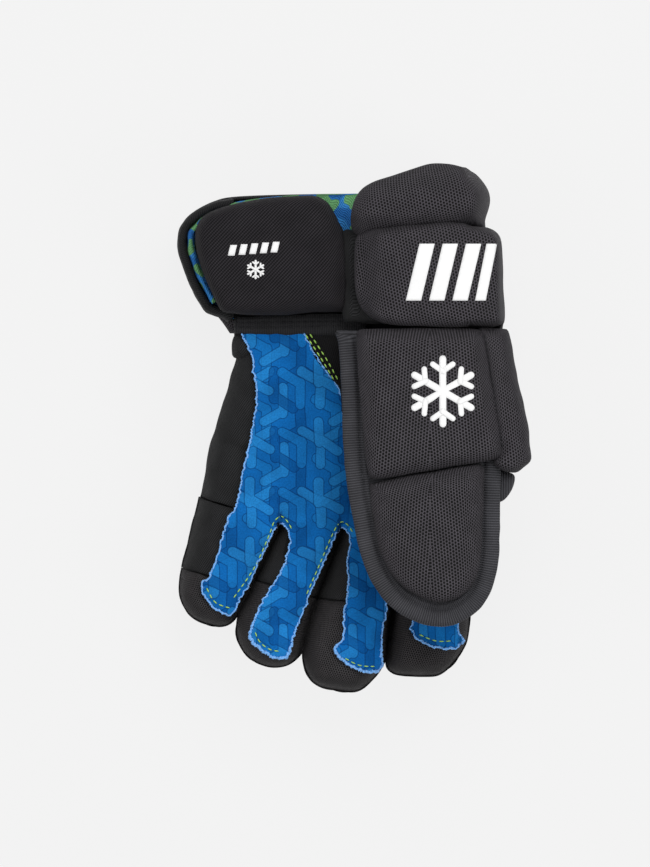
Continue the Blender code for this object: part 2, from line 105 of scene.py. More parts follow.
INDEX_TIP = [(14.6, -102.4), (16.2, -105.4), (20.6, -107.2), (33.0, -107.6), (38.4, -106.2),
             (43.2, -102.4), (47.0, -97.0), (49.6, -91.0), (50.6, -81.0), (50.8, -60.0),
             (50.8, -30.0)]
FINGER_SIDES = {
    "pinky": PINKY_OUTSIDE + PINKY_RING,
    "ring": PINKY_RING[::-1] + RING_TIP + RING_MIDDLE,
    "middle": RING_MIDDLE[::-1] + MIDDLE_TIP + MIDDLE_INDEX,
    "index": MIDDLE_INDEX[::-1] + INDEX_TIP,
}
PRINT_LEFT = [(-48.5, 40.4), (-47.5, 39.0), (-46.0, 36.0), (-44.0, 32.0), (-43.0, 28.0),
              (-43.2, 24.0), (-42.0, 20.0), (-41.8, 9.0), (-43.0, 4.0), (-43.5, -1.0),
              (-44.4, -5.0), (-46.0, -12.0), (-47.5, -18.0), (-48.5, -25.0), (-50.0, -32.0),
              (-51.6, -36.0), (-53.8, -39.0), (-56.0, -46.0), (-58.0, -53.0), (-60.0, -60.0),
              (-62.0, -64.5), (-65.0, -67.0), (-65.2, -71.0), (-62.0, -76.0), (-58.0, -79.3),
              (-53.4, -80.8), (-51.2, -79.0), (-49.0, -74.0), (-45.0, -68.0), (-42.0, -61.0),
              (-37.4, -51.0), (-33.6, -43.6), (-31.2, -41.4), (-28.8, -43.0), (-27.0, -48.0),
              (-28.0, -54.0), (-31.0, -62.0), (-36.0, -70.0), (-40.0, -77.0), (-43.0, -84.0),
              (-44.6, -90.0), (-42.0, -94.0), (-37.0, -98.0), (-32.0, -99.5), (-28.6, -98.8),
              (-27.0, -95.0), (-25.0, -88.0), (-21.0, -78.0), (-17.0, -68.0), (-12.0, -57.0),
              (-8.0, -48.0), (-5.0, -43.6), (-2.2, -45.2), (-1.2, -50.0), (-2.4, -58.0),
              (-2.0, -66.0), (-2.6, -74.0), (-4.0, -82.0), (-4.2, -91.0), (-7.6, -94.4),
              (-6.0, -99.0), (0.0, -103.4), (5.0, -105.4), (10.0, -105.4), (12.8, -102.5),
              (12.0, -98.0), (12.5, -90.0), (14.5, -77.5), (17.0, -64.0), (18.8, -52.0),
              (20.0, -46.4), (21.6, -44.0), (23.2, -46.4), (24.4, -54.0), (25.4, -66.0),
              (26.0, -78.0), (26.0, -84.0), (25.0, -88.0), (29.0, -92.0), (35.0, -94.8),
              (42.0, -95.4), (46.0, -94.0), (47.4, -91.5), (45.6, -88.0), (46.0, -78.0),
              (46.0, -60.0), (46.0, -40.0), (47.6, -24.0), (49.4, -12.0)]
PRINT_RIGHT = [(49.4, -9.0), (30.0, -9.2), (6.0, -9.6), (-1.0, -6.0), (-3.6, 4.0),
               (-5.0, 14.0), (-8.4, 20.6), (-14.8, 29.0), (-21.4, 40.4)]
PRINT_CLOSE = [(-30.0, 40.6), (-40.0, 40.6)]
SIDE_EDGE = [(-50.6, 32.0), (-51.6, 27.0), (-53.2, 21.5), (-55.2, 15.0), (-57.4, 8.0),
             (-59.6, 0.0), (-61.8, -7.0), (-63.2, -13.0), (-64.2, -20.0), (-65.4, -27.0),
             (-67.4, -34.0), (-68.4, -38.0)]
WRIST_BULGE = [(-46.0, 41.6), (-50.4, 40.6), (-52.2, 37.4), (-52.6, 33.6), (-51.4, 30.4),
               (-46.0, 29.0), (-40.0, 30.0), (-40.0, 41.0)]
FLAP = [(-53.0, 49.2), (-56.4, 50.2), (-58.4, 53.0), (-62.0, 60.5), (-65.6, 70.0),
        (-67.6, 79.0), (-67.4, 86.6), (-64.4, 91.6), (-58.4, 94.8), (-50.0, 96.8),
        (-40.0, 98.4), (-30.0, 99.5), (-20.6, 100.3), (-15.6, 99.7), (-11.8, 97.6),
        (-9.0, 94.0), (-6.6, 89.6), (-4.2, 85.4), (-2.0, 81.0), (-0.8, 74.0), (0.2, 62.0),
        (0.9, 51.6), (-1.2, 50.0), (-15.0, 50.0), (-30.0, 49.2), (-45.0, 48.4)]
CUFF_RIM = [(-54.0, 45.4), (-56.4, 47.2), (-60.4, 48.4), (-64.0, 50.2), (-66.6, 54.0),
            (-70.2, 60.4), (-74.0, 70.0), (-75.8, 77.0), (-75.8, 83.6), (-74.2, 88.0),
            (-70.2, 92.5), (-66.0, 95.3), (-60.0, 97.8), (-54.0, 99.0), (-46.0, 99.8),
            (-34.0, 100.4), (-20.0, 100.9), (-8.0, 101.0), (3.4, 101.0)]
TOP_ROLL = [(-0.2, 84.6), (-0.8, 90.0), (-0.2, 95.6), (1.4, 99.6), (4.0, 102.8), (8.0, 105.2),
            (14.0, 107.4), (20.0, 109.5), (27.0, 111.6), (34.0, 113.4), (41.0, 114.0),
            (47.0, 112.8), (52.4, 110.0), (56.0, 106.4), (58.2, 102.6), (58.8, 98.6),
            (58.2, 94.4), (57.2, 90.0), (56.6, 85.0), (48.0, 83.4), (30.0, 83.0),
            (12.0, 82.4), (4.0, 82.4)]
BAND = [(4.0, 50.6), (7.4, 47.2), (11.4, 45.2), (16.0, 44.2), (22.0, 43.7), (30.0, 43.5),
        (40.0, 43.1), (52.0, 42.7), (60.0, 43.0), (64.2, 44.4), (65.2, 46.4), (65.0, 52.0),
        (64.6, 62.0), (64.4, 72.0), (64.0, 79.0), (63.0, 82.8), (60.6, 85.4), (57.0, 86.9),
        (50.0, 87.8), (40.0, 88.4), (30.0, 87.8), (20.0, 86.6), (12.0, 85.6), (5.0, 84.8), (1.9, 82.4),
        (0.9, 77.0), (0.8, 67.0), (1.5, 57.0)]
VALLEY = [(-3.6, 46.0), (-3.6, 60.0), (-4.2, 76.0), (-4.4, 84.4), (2.0, 85.4), (10.0, 85.4),
          (16.0, 84.0), (16.0, 48.0), (12.0, 44.6), (3.0, 45.4)]
THUMB_UPPER = [(1.6, 40.0), (1.8, 30.0), (2.8, 20.0), (3.6, 10.0), (4.5, 0.0), (5.4, -10.0),
               (6.0, -18.0), (6.8, -21.6), (9.4, -22.2), (15.0, -21.3), (25.0, -19.3),
               (35.0, -17.8), (45.0, -15.9), (55.0, -14.4), (61.4, -13.6), (64.0, -12.4),
               (64.4, -9.0), (63.0, 0.0), (61.4, 10.0), (60.0, 20.0), (58.4, 30.0),
               (56.4, 40.0), (54.0, 42.2), (46.0, 42.4), (28.0, 42.4), (8.0, 42.4),
               (3.0, 42.0)]
THUMB_SIDE = [(53.6, 42.0), (55.4, 30.0), (57.4, 20.0), (59.0, 10.0), (60.6, 0.0),
              (61.8, -8.0), (61.6, -13.0), (60.6, -15.4), (64.4, -18.6), (69.6, -19.2),
              (73.0, -17.0), (76.0, -14.6), (76.6, -11.0), (75.4, -1.0), (73.4, 9.0),
              (71.2, 20.0), (69.2, 31.0), (67.2, 41.0), (65.0, 42.6), (60.0, 42.6)]
THUMB_LOWER = [(6.8, -24.4), (7.4, -30.0), (8.2, -37.0), (9.7, -46.0), (12.2, -55.0),
               (15.4, -61.9), (20.0, -67.2), (25.6, -71.3), (32.0, -74.2), (38.0, -74.9),
               (44.6, -73.2), (49.8, -69.2), (53.0, -63.4), (54.6, -55.0), (55.4, -45.0),
               (55.8, -35.0), (56.2, -24.0), (56.0, -17.4), (54.0, -15.8), (45.0, -17.2),
               (35.0, -19.2), (25.0, -20.7), (15.0, -22.8), (9.0, -23.8)]
THUMB_RIM = [(6.0, 42.0), (-6.8, 42.0), (-6.4, 36.0), (-5.6, 26.0), (-4.9, 14.0),
             (-4.6, 2.0), (-4.2, -8.0), (-3.2, -20.0), (-1.8, -30.0), (0.0, -40.0),
             (2.0, -50.0), (5.0, -60.0), (9.0, -68.2), (14.0, -74.8), (20.0, -79.8),
             (27.0, -83.4), (35.0, -85.4), (42.0, -85.0), (48.4, -82.4), (54.0, -78.2),
             (58.2, -72.4), (61.0, -65.0), (62.6, -55.0), (63.0, -45.0), (63.2, -34.0),
             (63.4, -24.0), (63.6, -12.0), (62.0, 0.0), (60.0, 20.0), (56.0, 42.0)]
SIDE_GUSSET = [(56.6, -17.4), (62.0, -17.8), (67.6, -19.4), (69.6, -21.0), (69.2, -24.6),
               (67.4, -28.4), (64.4, -31.6), (60.0, -32.4), (56.6, -30.0)]

INDEX_WALL = [(41.0, 40.0), (41.0, -36.0), (48.0, -37.4), (53.6, -35.6), (55.0, -30.0),
              (55.2, 0.0), (55.0, 34.0), (53.6, 39.6), (48.0, 41.0)]
ROOT_GUSSET = [(-6.2, 17.0), (-4.8, 5.0), (-2.0, -7.0), (6.0, -11.0), (30.0, -11.0),
               (49.0, -11.0), (50.4, 0.0), (50.4, 40.0), (20.0, 41.0), (-9.0, 41.0),
               (-22.0, 41.0), (-15.0, 28.0)]
WRIST_GUSSET = [(44.0, 34.0), (56.0, 34.0), (59.4, 36.0), (59.8, 43.0), (56.0, 44.6),
                (44.0, 44.6)]
HAND_ROLLS = {
    "back_roll_wrist": [(-49.0, 39.6), (-50.0, 28.0), (-53.8, 17.6), (51.0, 17.6), (51.0, 39.6)],
    "back_roll_middle": [(-53.8, 16.8), (-57.9, 0.0), (-60.1, -7.2), (51.0, -7.2), (51.0, 16.8)],
}
CUFF_ROLLS = {
    "cuff_back_roll_wrist": [(-53.5, 41.0), (-59.6, 50.0), (-68.0, 60.0), (-72.6, 72.2),
                             (56.0, 72.2), (56.0, 41.0)],
    "cuff_back_roll_end": [(-71.4, 73.0), (-73.0, 80.0), (-71.0, 88.0), (-66.5, 93.5),
                           (-54.0, 98.4), (-50.0, 99.2), (52.0, 99.2), (56.0, 95.0),
                           (56.0, 73.0)],
}
BAND_EDGE = [(46.0, 42.0), (60.0, 41.8), (64.2, 42.2), (64.9, 44.0), (63.8, 48.0), (46.0, 48.0)]


# ---------------------------------------------------------------- curves and plan distances

def curve(points, step=1.3, closed=False):
    """Evenly spaced points along a smooth curve through the given points."""
    given = np.array(points, float)
    count = len(given)
    spans = count if closed else count - 1
    along = np.linspace(0, 1, 10, endpoint=False)[:, None]
    dense = []
    for index in range(spans):
        near = [index + k for k in (-1, 0, 1, 2)]
        near = [k % count if closed else min(max(k, 0), count - 1) for k in near]
        a, b, c, d = given[near]
        dense.append(0.5 * (2 * b + (c - a) * along + (2 * a - 5 * b + 4 * c - d) * along**2
                            + (3 * b - a - 3 * c + d) * along**3))
    dense.append(given[:1] if closed else given[-1:])
    dense = np.vstack(dense)
    lengths = np.r_[0, np.cumsum(np.linalg.norm(np.diff(dense, axis=0), axis=1))]
    number = max(4, round(lengths[-1] / step))
    where = np.linspace(0, lengths[-1], number + 1)
    if closed:
        where = where[:-1]
    return np.column_stack([np.interp(where, lengths, axis) for axis in dense.T])


def nearest(points, line, closed=False):
    """Distance from each plan point to a line, and how far along the line it is met."""
    starts = line if closed else line[:-1]
    ends = np.roll(line, -1, axis=0) if closed else line[1:]
    spans = ends - starts
    lengths = np.linalg.norm(spans, axis=1) + 1e-9
    before = np.r_[0, np.cumsum(lengths)[:-1]]
    best = np.full(len(points), 1e9)
    along = np.zeros(len(points))
    for start, span, length, base in zip(starts, spans, lengths, before):
        offset = points - start
        share = np.clip(offset @ span / length**2, 0, 1)
        far = np.linalg.norm(offset - share[:, None] * span, axis=1)
        closer = far < best
        best[closer] = far[closer]
        along[closer] = base + share[closer] * length
    return best, along


def inside(points, outline):
    """True for each plan point within a closed outline."""
    hits = np.zeros(len(points), int)
    x, y = points.T
    for (ax, ay), (bx, by) in zip(outline, np.roll(outline, -1, axis=0)):
        crosses = (ay > y) != (by > y)
        if abs(by - ay) > 1e-12:
            hits += crosses & (x < ax + (y - ay) * (bx - ax) / (by - ay))
    return hits % 2 == 1


def clipped(outline, origin, direction):
    """The part of a closed outline on the side of a line that direction points to."""
    outline, origin, direction = np.array(outline), np.array(origin), np.array(direction)
    side = (outline - origin) @ direction
    kept = []
    for index, here in enumerate(side):
        after = side[(index + 1) % len(side)]
        if here >= 0:
            kept.append(outline[index])
        if (here >= 0) != (after >= 0):
            share = here / (here - after)
            kept.append(outline[index] * (1 - share) + outline[(index + 1) % len(side)] * share)
    return evened(np.array(kept), 1.3)


def evened(outline, step):
    """A closed outline with its long straight edges divided."""
    made = []
    for here, after in zip(outline, np.roll(outline, -1, axis=0)):
        parts = max(1, round(np.linalg.norm(after - here) / step))
        made += [here + (after - here) * k / parts for k in range(parts)]
    return np.array(made)


def inward_of(outline):
    """Unit vectors that point into an anticlockwise outline at each of its points."""
    tangent = np.roll(outline, -1, axis=0) - np.roll(outline, 1, axis=0)
    tangent /= np.linalg.norm(tangent, axis=1)[:, None] + 1e-9
    return np.column_stack((-tangent[:, 1], tangent[:, 0]))


def grown(outline, amount):
    """A closed outline moved outwards."""
    outline = anticlockwise(outline)
    return outline - amount * inward_of(outline)


def anticlockwise(outline):
    x, y = outline.T
    area = np.sum(x * np.roll(y, -1) - y * np.roll(x, -1))
    return outline if area > 0 else outline[::-1]


def step_up(value, low, high):
    """0 below low, 1 above high and smooth between."""
    share = np.clip((value - low) / (high - low), 0, 1)
    return share * share * (3 - 2 * share)


def rounded(distance, width, power=2.2):
    """0 at an edge and 1 from width inwards, along a rounded shoulder."""
    share = 1 - np.clip(distance / width, 0, 1)
    return (1 - share**power) ** (1 / power)


# ---------------------------------------------------------------- heights of the glove

def plan_axes(heading):
    """Plan directions along a finger of this heading, and across it to the thumb side."""
    turn = math.radians(heading)
    return (np.array((-math.sin(turn), -math.cos(turn))),
            np.array((math.cos(turn), -math.sin(turn))))


def finger_frame(name):
    """Plan place of a finger's knuckle, and the directions along and across the finger."""
    return np.array(FINGERS[name]["knuckle"]), *plan_axes(FINGERS[name]["heading"])


def digit_place(points, name):
    """How far each plan point is along a finger from its knuckle, and to its thumb side."""
    knuckle, forward, across = finger_frame(name)
    offset = points - knuckle
    return offset @ forward, offset @ across


def finger_rise(points, name):
    """Height of a finger's palm side above the palm, from its two sloping sections."""
    u, _ = digit_place(points, name)
    first, second = FINGER_SLOPES
    beyond = np.clip(u - FINGERS[name]["middle"], 0, None)
    return np.clip(u, 0, None) * first + beyond * (second - first)


def palm_height(points):
    """Height of the palm side at each plan point, with the slope of the nearest finger."""
    names = list(FINGERS)
    sideways = np.array([np.abs(digit_place(points, name)[1]) for name in names])
    rises = np.array([finger_rise(points, name) for name in names])
    return PALM_TOP + np.take_along_axis(rises, sideways.argmin(0)[None], 0)[0]


def thumb_plane(points):
    """Height of the thumb's palm-side plane."""
    return THUMB_BASE[1] + (THUMB_BASE[0] - points[:, 1]) * THUMB_SLOPE


# ---------------------------------------------------------------- meshes

def link_object(name, data):
    made = bpy.data.objects.new(name, data)
    bpy.context.collection.objects.link(made)
    return made


def add_mesh(name, points, faces, material, weave=None):
    """Smooth mesh from points in millimetres; weave holds its cloth coordinates."""
    mesh = bpy.data.meshes.new(name)
    mesh.from_pydata((np.asarray(points) * MM).tolist(), [], faces)
    mesh.shade_smooth()
    mesh.materials.append(material)
    piece = link_object(name, mesh)
    weave = unrolled(piece) if weave is None else weave
    flat = np.zeros((len(weave), 3), np.float32)
    flat[:, :2] = weave[:, :2]
    mesh.attributes.new("weave", "FLOAT_VECTOR", "POINT").data.foreach_set("vector", flat.ravel())
    return piece


def triples(collection, field):
    """A field of a mesh's elements as rows of three numbers."""
    flat = np.zeros(len(collection) * 3, np.float32)
    collection.foreach_get(field, flat)
    return flat.reshape(-1, 3)


def coordinates(piece):
    return triples(piece.data.vertices, "co") / MM


def place_vertices(piece, points):
    """Moves a piece's vertices to points given in millimetres."""
    piece.data.vertices.foreach_set("co", (points * MM).astype(np.float32).ravel())
    piece.data.update()
    return piece


def unrolled(piece):
    """Plan coordinates with steep sides folded outwards, so that a weave isn't stretched."""
    points = coordinates(piece)
    normals = triples(piece.data.vertex_normals, "vector")
    drop = points[:, 2].max() - points[:, 2:3]
    return points[:, :2] + normals[:, :2] * drop


def filling(outline, rows, grid):
    """Points inside an outline: rows that follow its edge, then an even triangular grid."""
    inward = inward_of(outline)
    found = []
    for row in rows:
        ring = outline + inward * row
        keep = inside(ring, outline) & (nearest(ring, outline, True)[0] > row * 0.94)
        found.append(ring[keep])
    low, high = outline.min(0), outline.max(0)
    xs = np.arange(low[0], high[0], grid)
    ys = np.arange(low[1], high[1], grid * 0.866)
    x, y = np.meshgrid(xs, ys)
    x = x + (np.arange(len(ys)) % 2)[:, None] * grid / 2
    points = np.column_stack((x.ravel(), y.ravel()))
    points = points[inside(points, outline)]
    last = rows[-1] if len(rows) else 0.0
    found.append(points[nearest(points, outline, True)[0] > last + grid * 0.55])
    return np.vstack(found)


def triangulated(outline, rows, grid):
    """Plan points and triangles that fill an outline, and which points lie on its edge."""
    outline = anticlockwise(np.asarray(outline))
    points = np.vstack((outline, filling(outline, rows, grid)))
    count = len(outline)
    edges = [(k, (k + 1) % count) for k in range(count)]
    vectors = [Vector(point) for point in points.tolist()]
    made, _, faces, _, _, _ = delaunay_2d_cdt(vectors, edges, [], 1, 1e-5)
    plan = np.array([tuple(point) for point in made])
    edge = nearest(plan, outline, True)[0] < 1e-3
    return plan, [tuple(face) for face in faces], edge


def panel(name, outline, top, bottom, material, roll=3.0, under=None, waist=0.5, grid=1.5,
          power=2.2, weave=None):
    """Closed form over a plan outline, with shoulders that roll in from its edge."""
    under = roll if under is None else under
    rows = [roll * share for share in (0.03, 0.12, 0.28, 0.5, 0.75, 1.0)]
    rows = [row for row in rows if row > 0.1]
    plan, faces, edge = triangulated(outline, rows, grid)
    distance = nearest(plan, np.asarray(outline), True)[0]
    distance[edge] = 0
    high = top(plan) if callable(top) else np.full(len(plan), float(top))
    low = bottom(plan) if callable(bottom) else np.full(len(plan), float(bottom))
    middle = low + (high - low) * waist
    upper = middle + (high - middle) * rounded(distance, roll, power)
    lower = middle + (low - middle) * rounded(distance, under, power)
    inner = np.flatnonzero(~edge)
    below = np.arange(len(plan))
    below[inner] = len(plan) + np.arange(len(inner))
    points = np.vstack((np.column_stack((plan, upper)),
                        np.column_stack((plan[inner], lower[inner]))))
    made = faces + [tuple(int(below[k]) for k in reversed(face)) for face in faces]
    if weave is not None:
        values = weave(plan)
        weave = np.vstack((values, values[inner]))
    return add_mesh(name, points, made, material, weave)


def sheet(name, outline, height, material, grid=1.3, rows=(0.5, 1.2)):
    """Single layer of cloth over a plan outline."""
    plan, faces, _ = triangulated(outline, list(rows), grid)
    points = np.column_stack((plan, height(plan)))
    return add_mesh(name, points, faces, material, plan)


def tube_faces(rings, size):
    """Faces of a closed tube whose rings each have size points."""
    faces = []
    for low in range(0, (rings - 1) * size, size):
        for j in range(size):
            beside = (j + 1) % size
            faces.append((low + j, low + beside, low + size + beside, low + size + j))
    faces.append(tuple(range(size))[::-1])
    faces.append(tuple(range((rings - 1) * size, rings * size)))
    return faces


def path_frame(path, upright):
    """Sideways and upward unit vectors at each point of a path."""
    tangent = np.gradient(path, axis=0)
    tangent /= np.linalg.norm(tangent, axis=1)[:, None] + 1e-9
    side = np.cross(tangent, upright)
    side /= np.linalg.norm(side, axis=1)[:, None] + 1e-9
    return side, np.cross(side, tangent)


def sweep(name, path, section, material):
    """Form with a section of (sideways, upwards) points carried along a path."""
    side, up = path_frame(path, (0.0, 0.0, 1.0))
    rings = [path[k] + section[:, :1] * side[k] + section[:, 1:] * up[k]
             for k in range(len(path))]
    gaps = np.linalg.norm(np.diff(path, axis=0), axis=1)
    along = np.repeat(np.r_[0, np.cumsum(gaps)], len(section))
    gaps = np.linalg.norm(np.diff(section, axis=0), axis=1)
    around = np.tile(np.r_[0, np.cumsum(gaps)], len(path))
    return add_mesh(name, np.vstack(rings), tube_faces(len(path), len(section)), material,
                    np.column_stack((along, around)))


def ring_section(width, height, power=2.0, count=14):
    """Section like a rounded oval, centred on the path."""
    angles = np.linspace(0, 2 * math.pi, count, endpoint=False)
    x, y = np.cos(angles), np.sin(angles)
    return np.column_stack((np.sign(x) * np.abs(x) ** (2 / power) * width / 2,
                            np.sign(y) * np.abs(y) ** (2 / power) * height / 2))


def rumple(piece, amount, size, seed):
    """Uneven surface like cloth over foam: each vertex moves a little along its normal."""
    points = coordinates(piece)
    normals = triples(piece.data.vertex_normals, "vector")
    shift = Vector((seed * 7.3, seed * 3.1, seed * 5.7))
    values = np.array([noise.noise(Vector(point) / size + shift) for point in points.tolist()])
    return place_vertices(piece, points + normals * (values * amount)[:, None])


def inflate(piece, pressure=4.0, limit=1.2):
    """Foam pushing its cover out: a short cloth simulation whose result is kept."""
    before = coordinates(piece)
    cloth = piece.modifiers.new("cloth", "CLOTH")
    settings = cloth.settings
    for key, value in CLOTH_SETTINGS.items():
        setattr(settings, key, value)
    settings.uniform_pressure_force = pressure
    settings.effector_weights.gravity = 0.0
    cloth.collision_settings.use_collision = False
    cloth.point_cache.frame_start = 1
    cloth.point_cache.frame_end = CLOTH_FRAMES
    for number in range(1, CLOTH_FRAMES + 1):
        bpy.context.scene.frame_set(number)
    evaluated = piece.evaluated_get(bpy.context.evaluated_depsgraph_get())
    moved = triples(evaluated.data.vertices, "co") / MM - before
    piece.modifiers.remove(cloth)
    bpy.context.scene.frame_set(1)
    length = np.linalg.norm(moved, axis=1)[:, None] + 1e-9
    return place_vertices(piece, before + moved * np.minimum(1.0, limit / length))


def joined(name, parts, material):
    """One mesh from several lists of points and faces."""
    points, faces = [], []
    for part_points, part_faces in parts:
        base = len(points)
        points += [tuple(point) for point in part_points]
        faces += [tuple(base + k for k in face) for face in part_faces]
    return add_mesh(name, np.array(points), faces, material)


def thread(path, radii, sides=6):
    """Points and faces of a closed tube along a path, with its own radius at each point."""
    side, up = path_frame(path, (0.1, 0.2, 1.0))
    angles = np.linspace(0, 2 * math.pi, sides, endpoint=False)
    points = [centre + radii[k] * (math.cos(angle) * side[k] + math.sin(angle) * up[k])
              for k, centre in enumerate(path) for angle in angles]
    return points, tube_faces(len(path), sides)


def stitches(name, path, material, pitch=3.0, length=2.0, radius=0.32, lift=0.25):
    """Row of separate stitches along a path in space."""
    path = curve(path, 0.5)
    size = max(2, round(length / 0.5))
    parts = []
    for start in range(0, len(path) - size, round(pitch / 0.5)):
        run = path[start:start + size + 1].copy()
        share = np.linspace(-1, 1, len(run))
        run[:, 2] += lift * (1 - share**2)
        radii = radius * np.maximum(0.35, np.sqrt(np.maximum(0.05, 1 - share**4)))
        parts.append(thread(run, radii))
    return joined(name, parts, material)


def on_surface(points, *targets):
    """Plan points dropped onto the highest of some pieces."""
    heights = np.full(len(points), -1e3)
    for target in targets:
        mesh = target.data
        tree = BVHTree.FromPolygons([v.co for v in mesh.vertices],
                                    [tuple(p.vertices) for p in mesh.polygons])
        for k, (x, y) in enumerate(points.tolist()):
            hit = tree.ray_cast(Vector((x * MM, y * MM, 0.2)), Vector((0, 0, -1)))[0]
            if hit is not None:
                heights[k] = max(heights[k], hit.z / MM)
    lost = heights < -1
    if lost.any() and not lost.all():
        heights[lost] = heights[~lost].mean()
    return heights


# ---------------------------------------------------------------- materials

def new_material(name, roughness=0.8, sheen=0.0, specular=0.3):
    made = bpy.data.materials.new(name)
    made.use_nodes = True
    shader = made.node_tree.nodes["Principled BSDF"]
    shader.inputs["Roughness"].default_value = roughness
    shader.inputs["Specular IOR Level"].default_value = specular
    shader.inputs["Sheen Weight"].default_value = sheen
    shader.inputs["Sheen Roughness"].default_value = 0.5
    return made, made.node_tree, shader


def node(tree, kind, inputs=(), **settings):
    """New node; inputs are sockets to link or values to set, in order, None to skip."""
    made = tree.nodes.new(kind)
    for key, value in settings.items():
        setattr(made, key, value)
    for index, value in enumerate(inputs):
        if isinstance(value, bpy.types.NodeSocket):
            tree.links.new(value, made.inputs[index])
        elif value is not None:
            made.inputs[index].default_value = value
    return made


def sums(tree, operation, *values):
    return node(tree, "ShaderNodeMath", values, operation=operation).outputs[0]


def vectors(tree, operation, *values):
    made = node(tree, "ShaderNodeVectorMath", values, operation=operation)
    return made.outputs["Value" if operation in ("DOT_PRODUCT", "LENGTH") else "Vector"]


def between(tree, value, low, high, out_low=0.0, out_high=1.0):
    """Smooth step of a value between two limits."""
    made = node(tree, "ShaderNodeMapRange", (value, low, high, out_low, out_high),
                interpolation_type="SMOOTHSTEP")
    return made.outputs[0]


def mixed(tree, share, first, second):
    made = tree.nodes.new("ShaderNodeMix")
    made.data_type = "RGBA"
    for socket, value in zip((made.inputs[0], made.inputs[6], made.inputs[7]),
                             (share, first, second)):
        if isinstance(value, bpy.types.NodeSocket):
            tree.links.new(value, socket)
        elif isinstance(value, tuple):
            socket.default_value = (*value[:3], 1.0)
        else:
            socket.default_value = value
    return made.outputs[2]


def weave_place(tree):
    return node(tree, "ShaderNodeAttribute", attribute_name="weave").outputs["Vector"]


def noise_at(tree, place, size, detail=2.0):
    """Noise from 0 to 1 whose lumps are about size millimetres across."""
    made = node(tree, "ShaderNodeTexNoise", (place,))
    made.inputs["Scale"].default_value = 1.0 / size
    made.inputs["Detail"].default_value = detail
    return made.outputs[0]


def surface(tree, shader, colour, height, depth):
    """Gives a shader its colour, and a bump whose full height is depth millimetres."""
    tree.links.new(colour, shader.inputs["Base Color"])
    bump = node(tree, "ShaderNodeBump")
    bump.inputs["Strength"].default_value = 1.0
    bump.inputs["Distance"].default_value = depth * MM
    tree.links.new(height, bump.inputs["Height"])
    tree.links.new(bump.outputs[0], shader.inputs["Normal"])


def shade(tree, colour, share, low, high):
    """A colour made darker or lighter by a share from 0 to 1."""
    factor = between(tree, share, 0.25, 0.75, low, high)
    return vectors(tree, "MULTIPLY", colour, node(
        tree, "ShaderNodeCombineXYZ", (factor, factor, factor)).outputs[0])


def lattice(tree, place, cell, turn):
    """Waves along three directions: highest at the points of a triangular lattice."""
    turned = node(tree, "ShaderNodeVectorRotate", (place, None, (0, 0, 1), turn)).outputs[0]
    waves = []
    for k in range(3):
        angle = math.radians(60 * k + 30)
        along = vectors(tree, "DOT_PRODUCT", turned, (math.cos(angle), math.sin(angle), 0))
        scaled = sums(tree, "MULTIPLY", along, 4 * math.pi / (math.sqrt(3) * cell))
        waves.append(sums(tree, "COSINE", scaled))
    first = sums(tree, "MULTIPLY", waves[0], 1.3)
    return sums(tree, "ADD", sums(tree, "ADD", first, waves[1]), waves[2])


def mesh_cloth(name, threads, holes, cell=1.45, turn=0.35, fold=None, depth=0.28):
    """Knitted spacer mesh: pale threads round dark holes, in chevrons if it has a fold."""
    made, tree, shader = new_material(name, 0.7, 0.02, 0.12)
    place = weave_place(tree)
    if fold is not None:
        parts = node(tree, "ShaderNodeSeparateXYZ", (place,)).outputs
        folded = sums(tree, "ABSOLUTE", sums(tree, "SUBTRACT", parts[0], fold))
        place = node(tree, "ShaderNodeCombineXYZ", (folded, parts[1], 0.0)).outputs[0]
    loose = noise_at(tree, place, 2.2, 1.0)
    pushed = vectors(tree, "ADD", place, node(
        tree, "ShaderNodeCombineXYZ", (sums(tree, "MULTIPLY", loose, 0.35), 0.0, 0.0)).outputs[0])
    waves = lattice(tree, pushed, cell, turn)
    hole = between(tree, waves, -0.8, 0.7)
    colour = mixed(tree, hole, threads, holes)
    colour = shade(tree, colour, noise_at(tree, place, 9.0), 0.86, 1.12)
    surface(tree, shader, colour, sums(tree, "SUBTRACT", 1.0, hole), depth)
    return made


def rib_cloth(name, colour, pitch=0.9, turn=0.7, contrast=0.25, depth=0.12, rough=0.75,
              sheen=0.02, cross=0.5):
    """Woven cloth whose ribs run at one angle, crossed by finer threads."""
    made, tree, shader = new_material(name, rough, sheen, 0.1)
    place = weave_place(tree)
    turned = node(tree, "ShaderNodeVectorRotate", (place, None, (0, 0, 1), turn)).outputs[0]
    parts = node(tree, "ShaderNodeSeparateXYZ", (turned,)).outputs
    wobble = sums(tree, "MULTIPLY", noise_at(tree, place, 3.0), 0.5)
    ribs = sums(tree, "SINE", sums(tree, "ADD", wobble, sums(
        tree, "MULTIPLY", parts[0], 2 * math.pi / pitch)))
    fine = sums(tree, "SINE", sums(tree, "MULTIPLY", parts[1], 2 * math.pi / (pitch * 0.8)))
    height = sums(tree, "ADD", ribs, sums(tree, "MULTIPLY", fine, cross))
    share = between(tree, height, -1.4, 1.4)
    dark = tuple(c * (1 - contrast) for c in colour)
    light = tuple(c * (1 + contrast) for c in colour)
    tone = shade(tree, mixed(tree, share, dark, light), noise_at(tree, place, 11.0), 0.85, 1.12)
    surface(tree, shader, tone, share, depth)
    return made


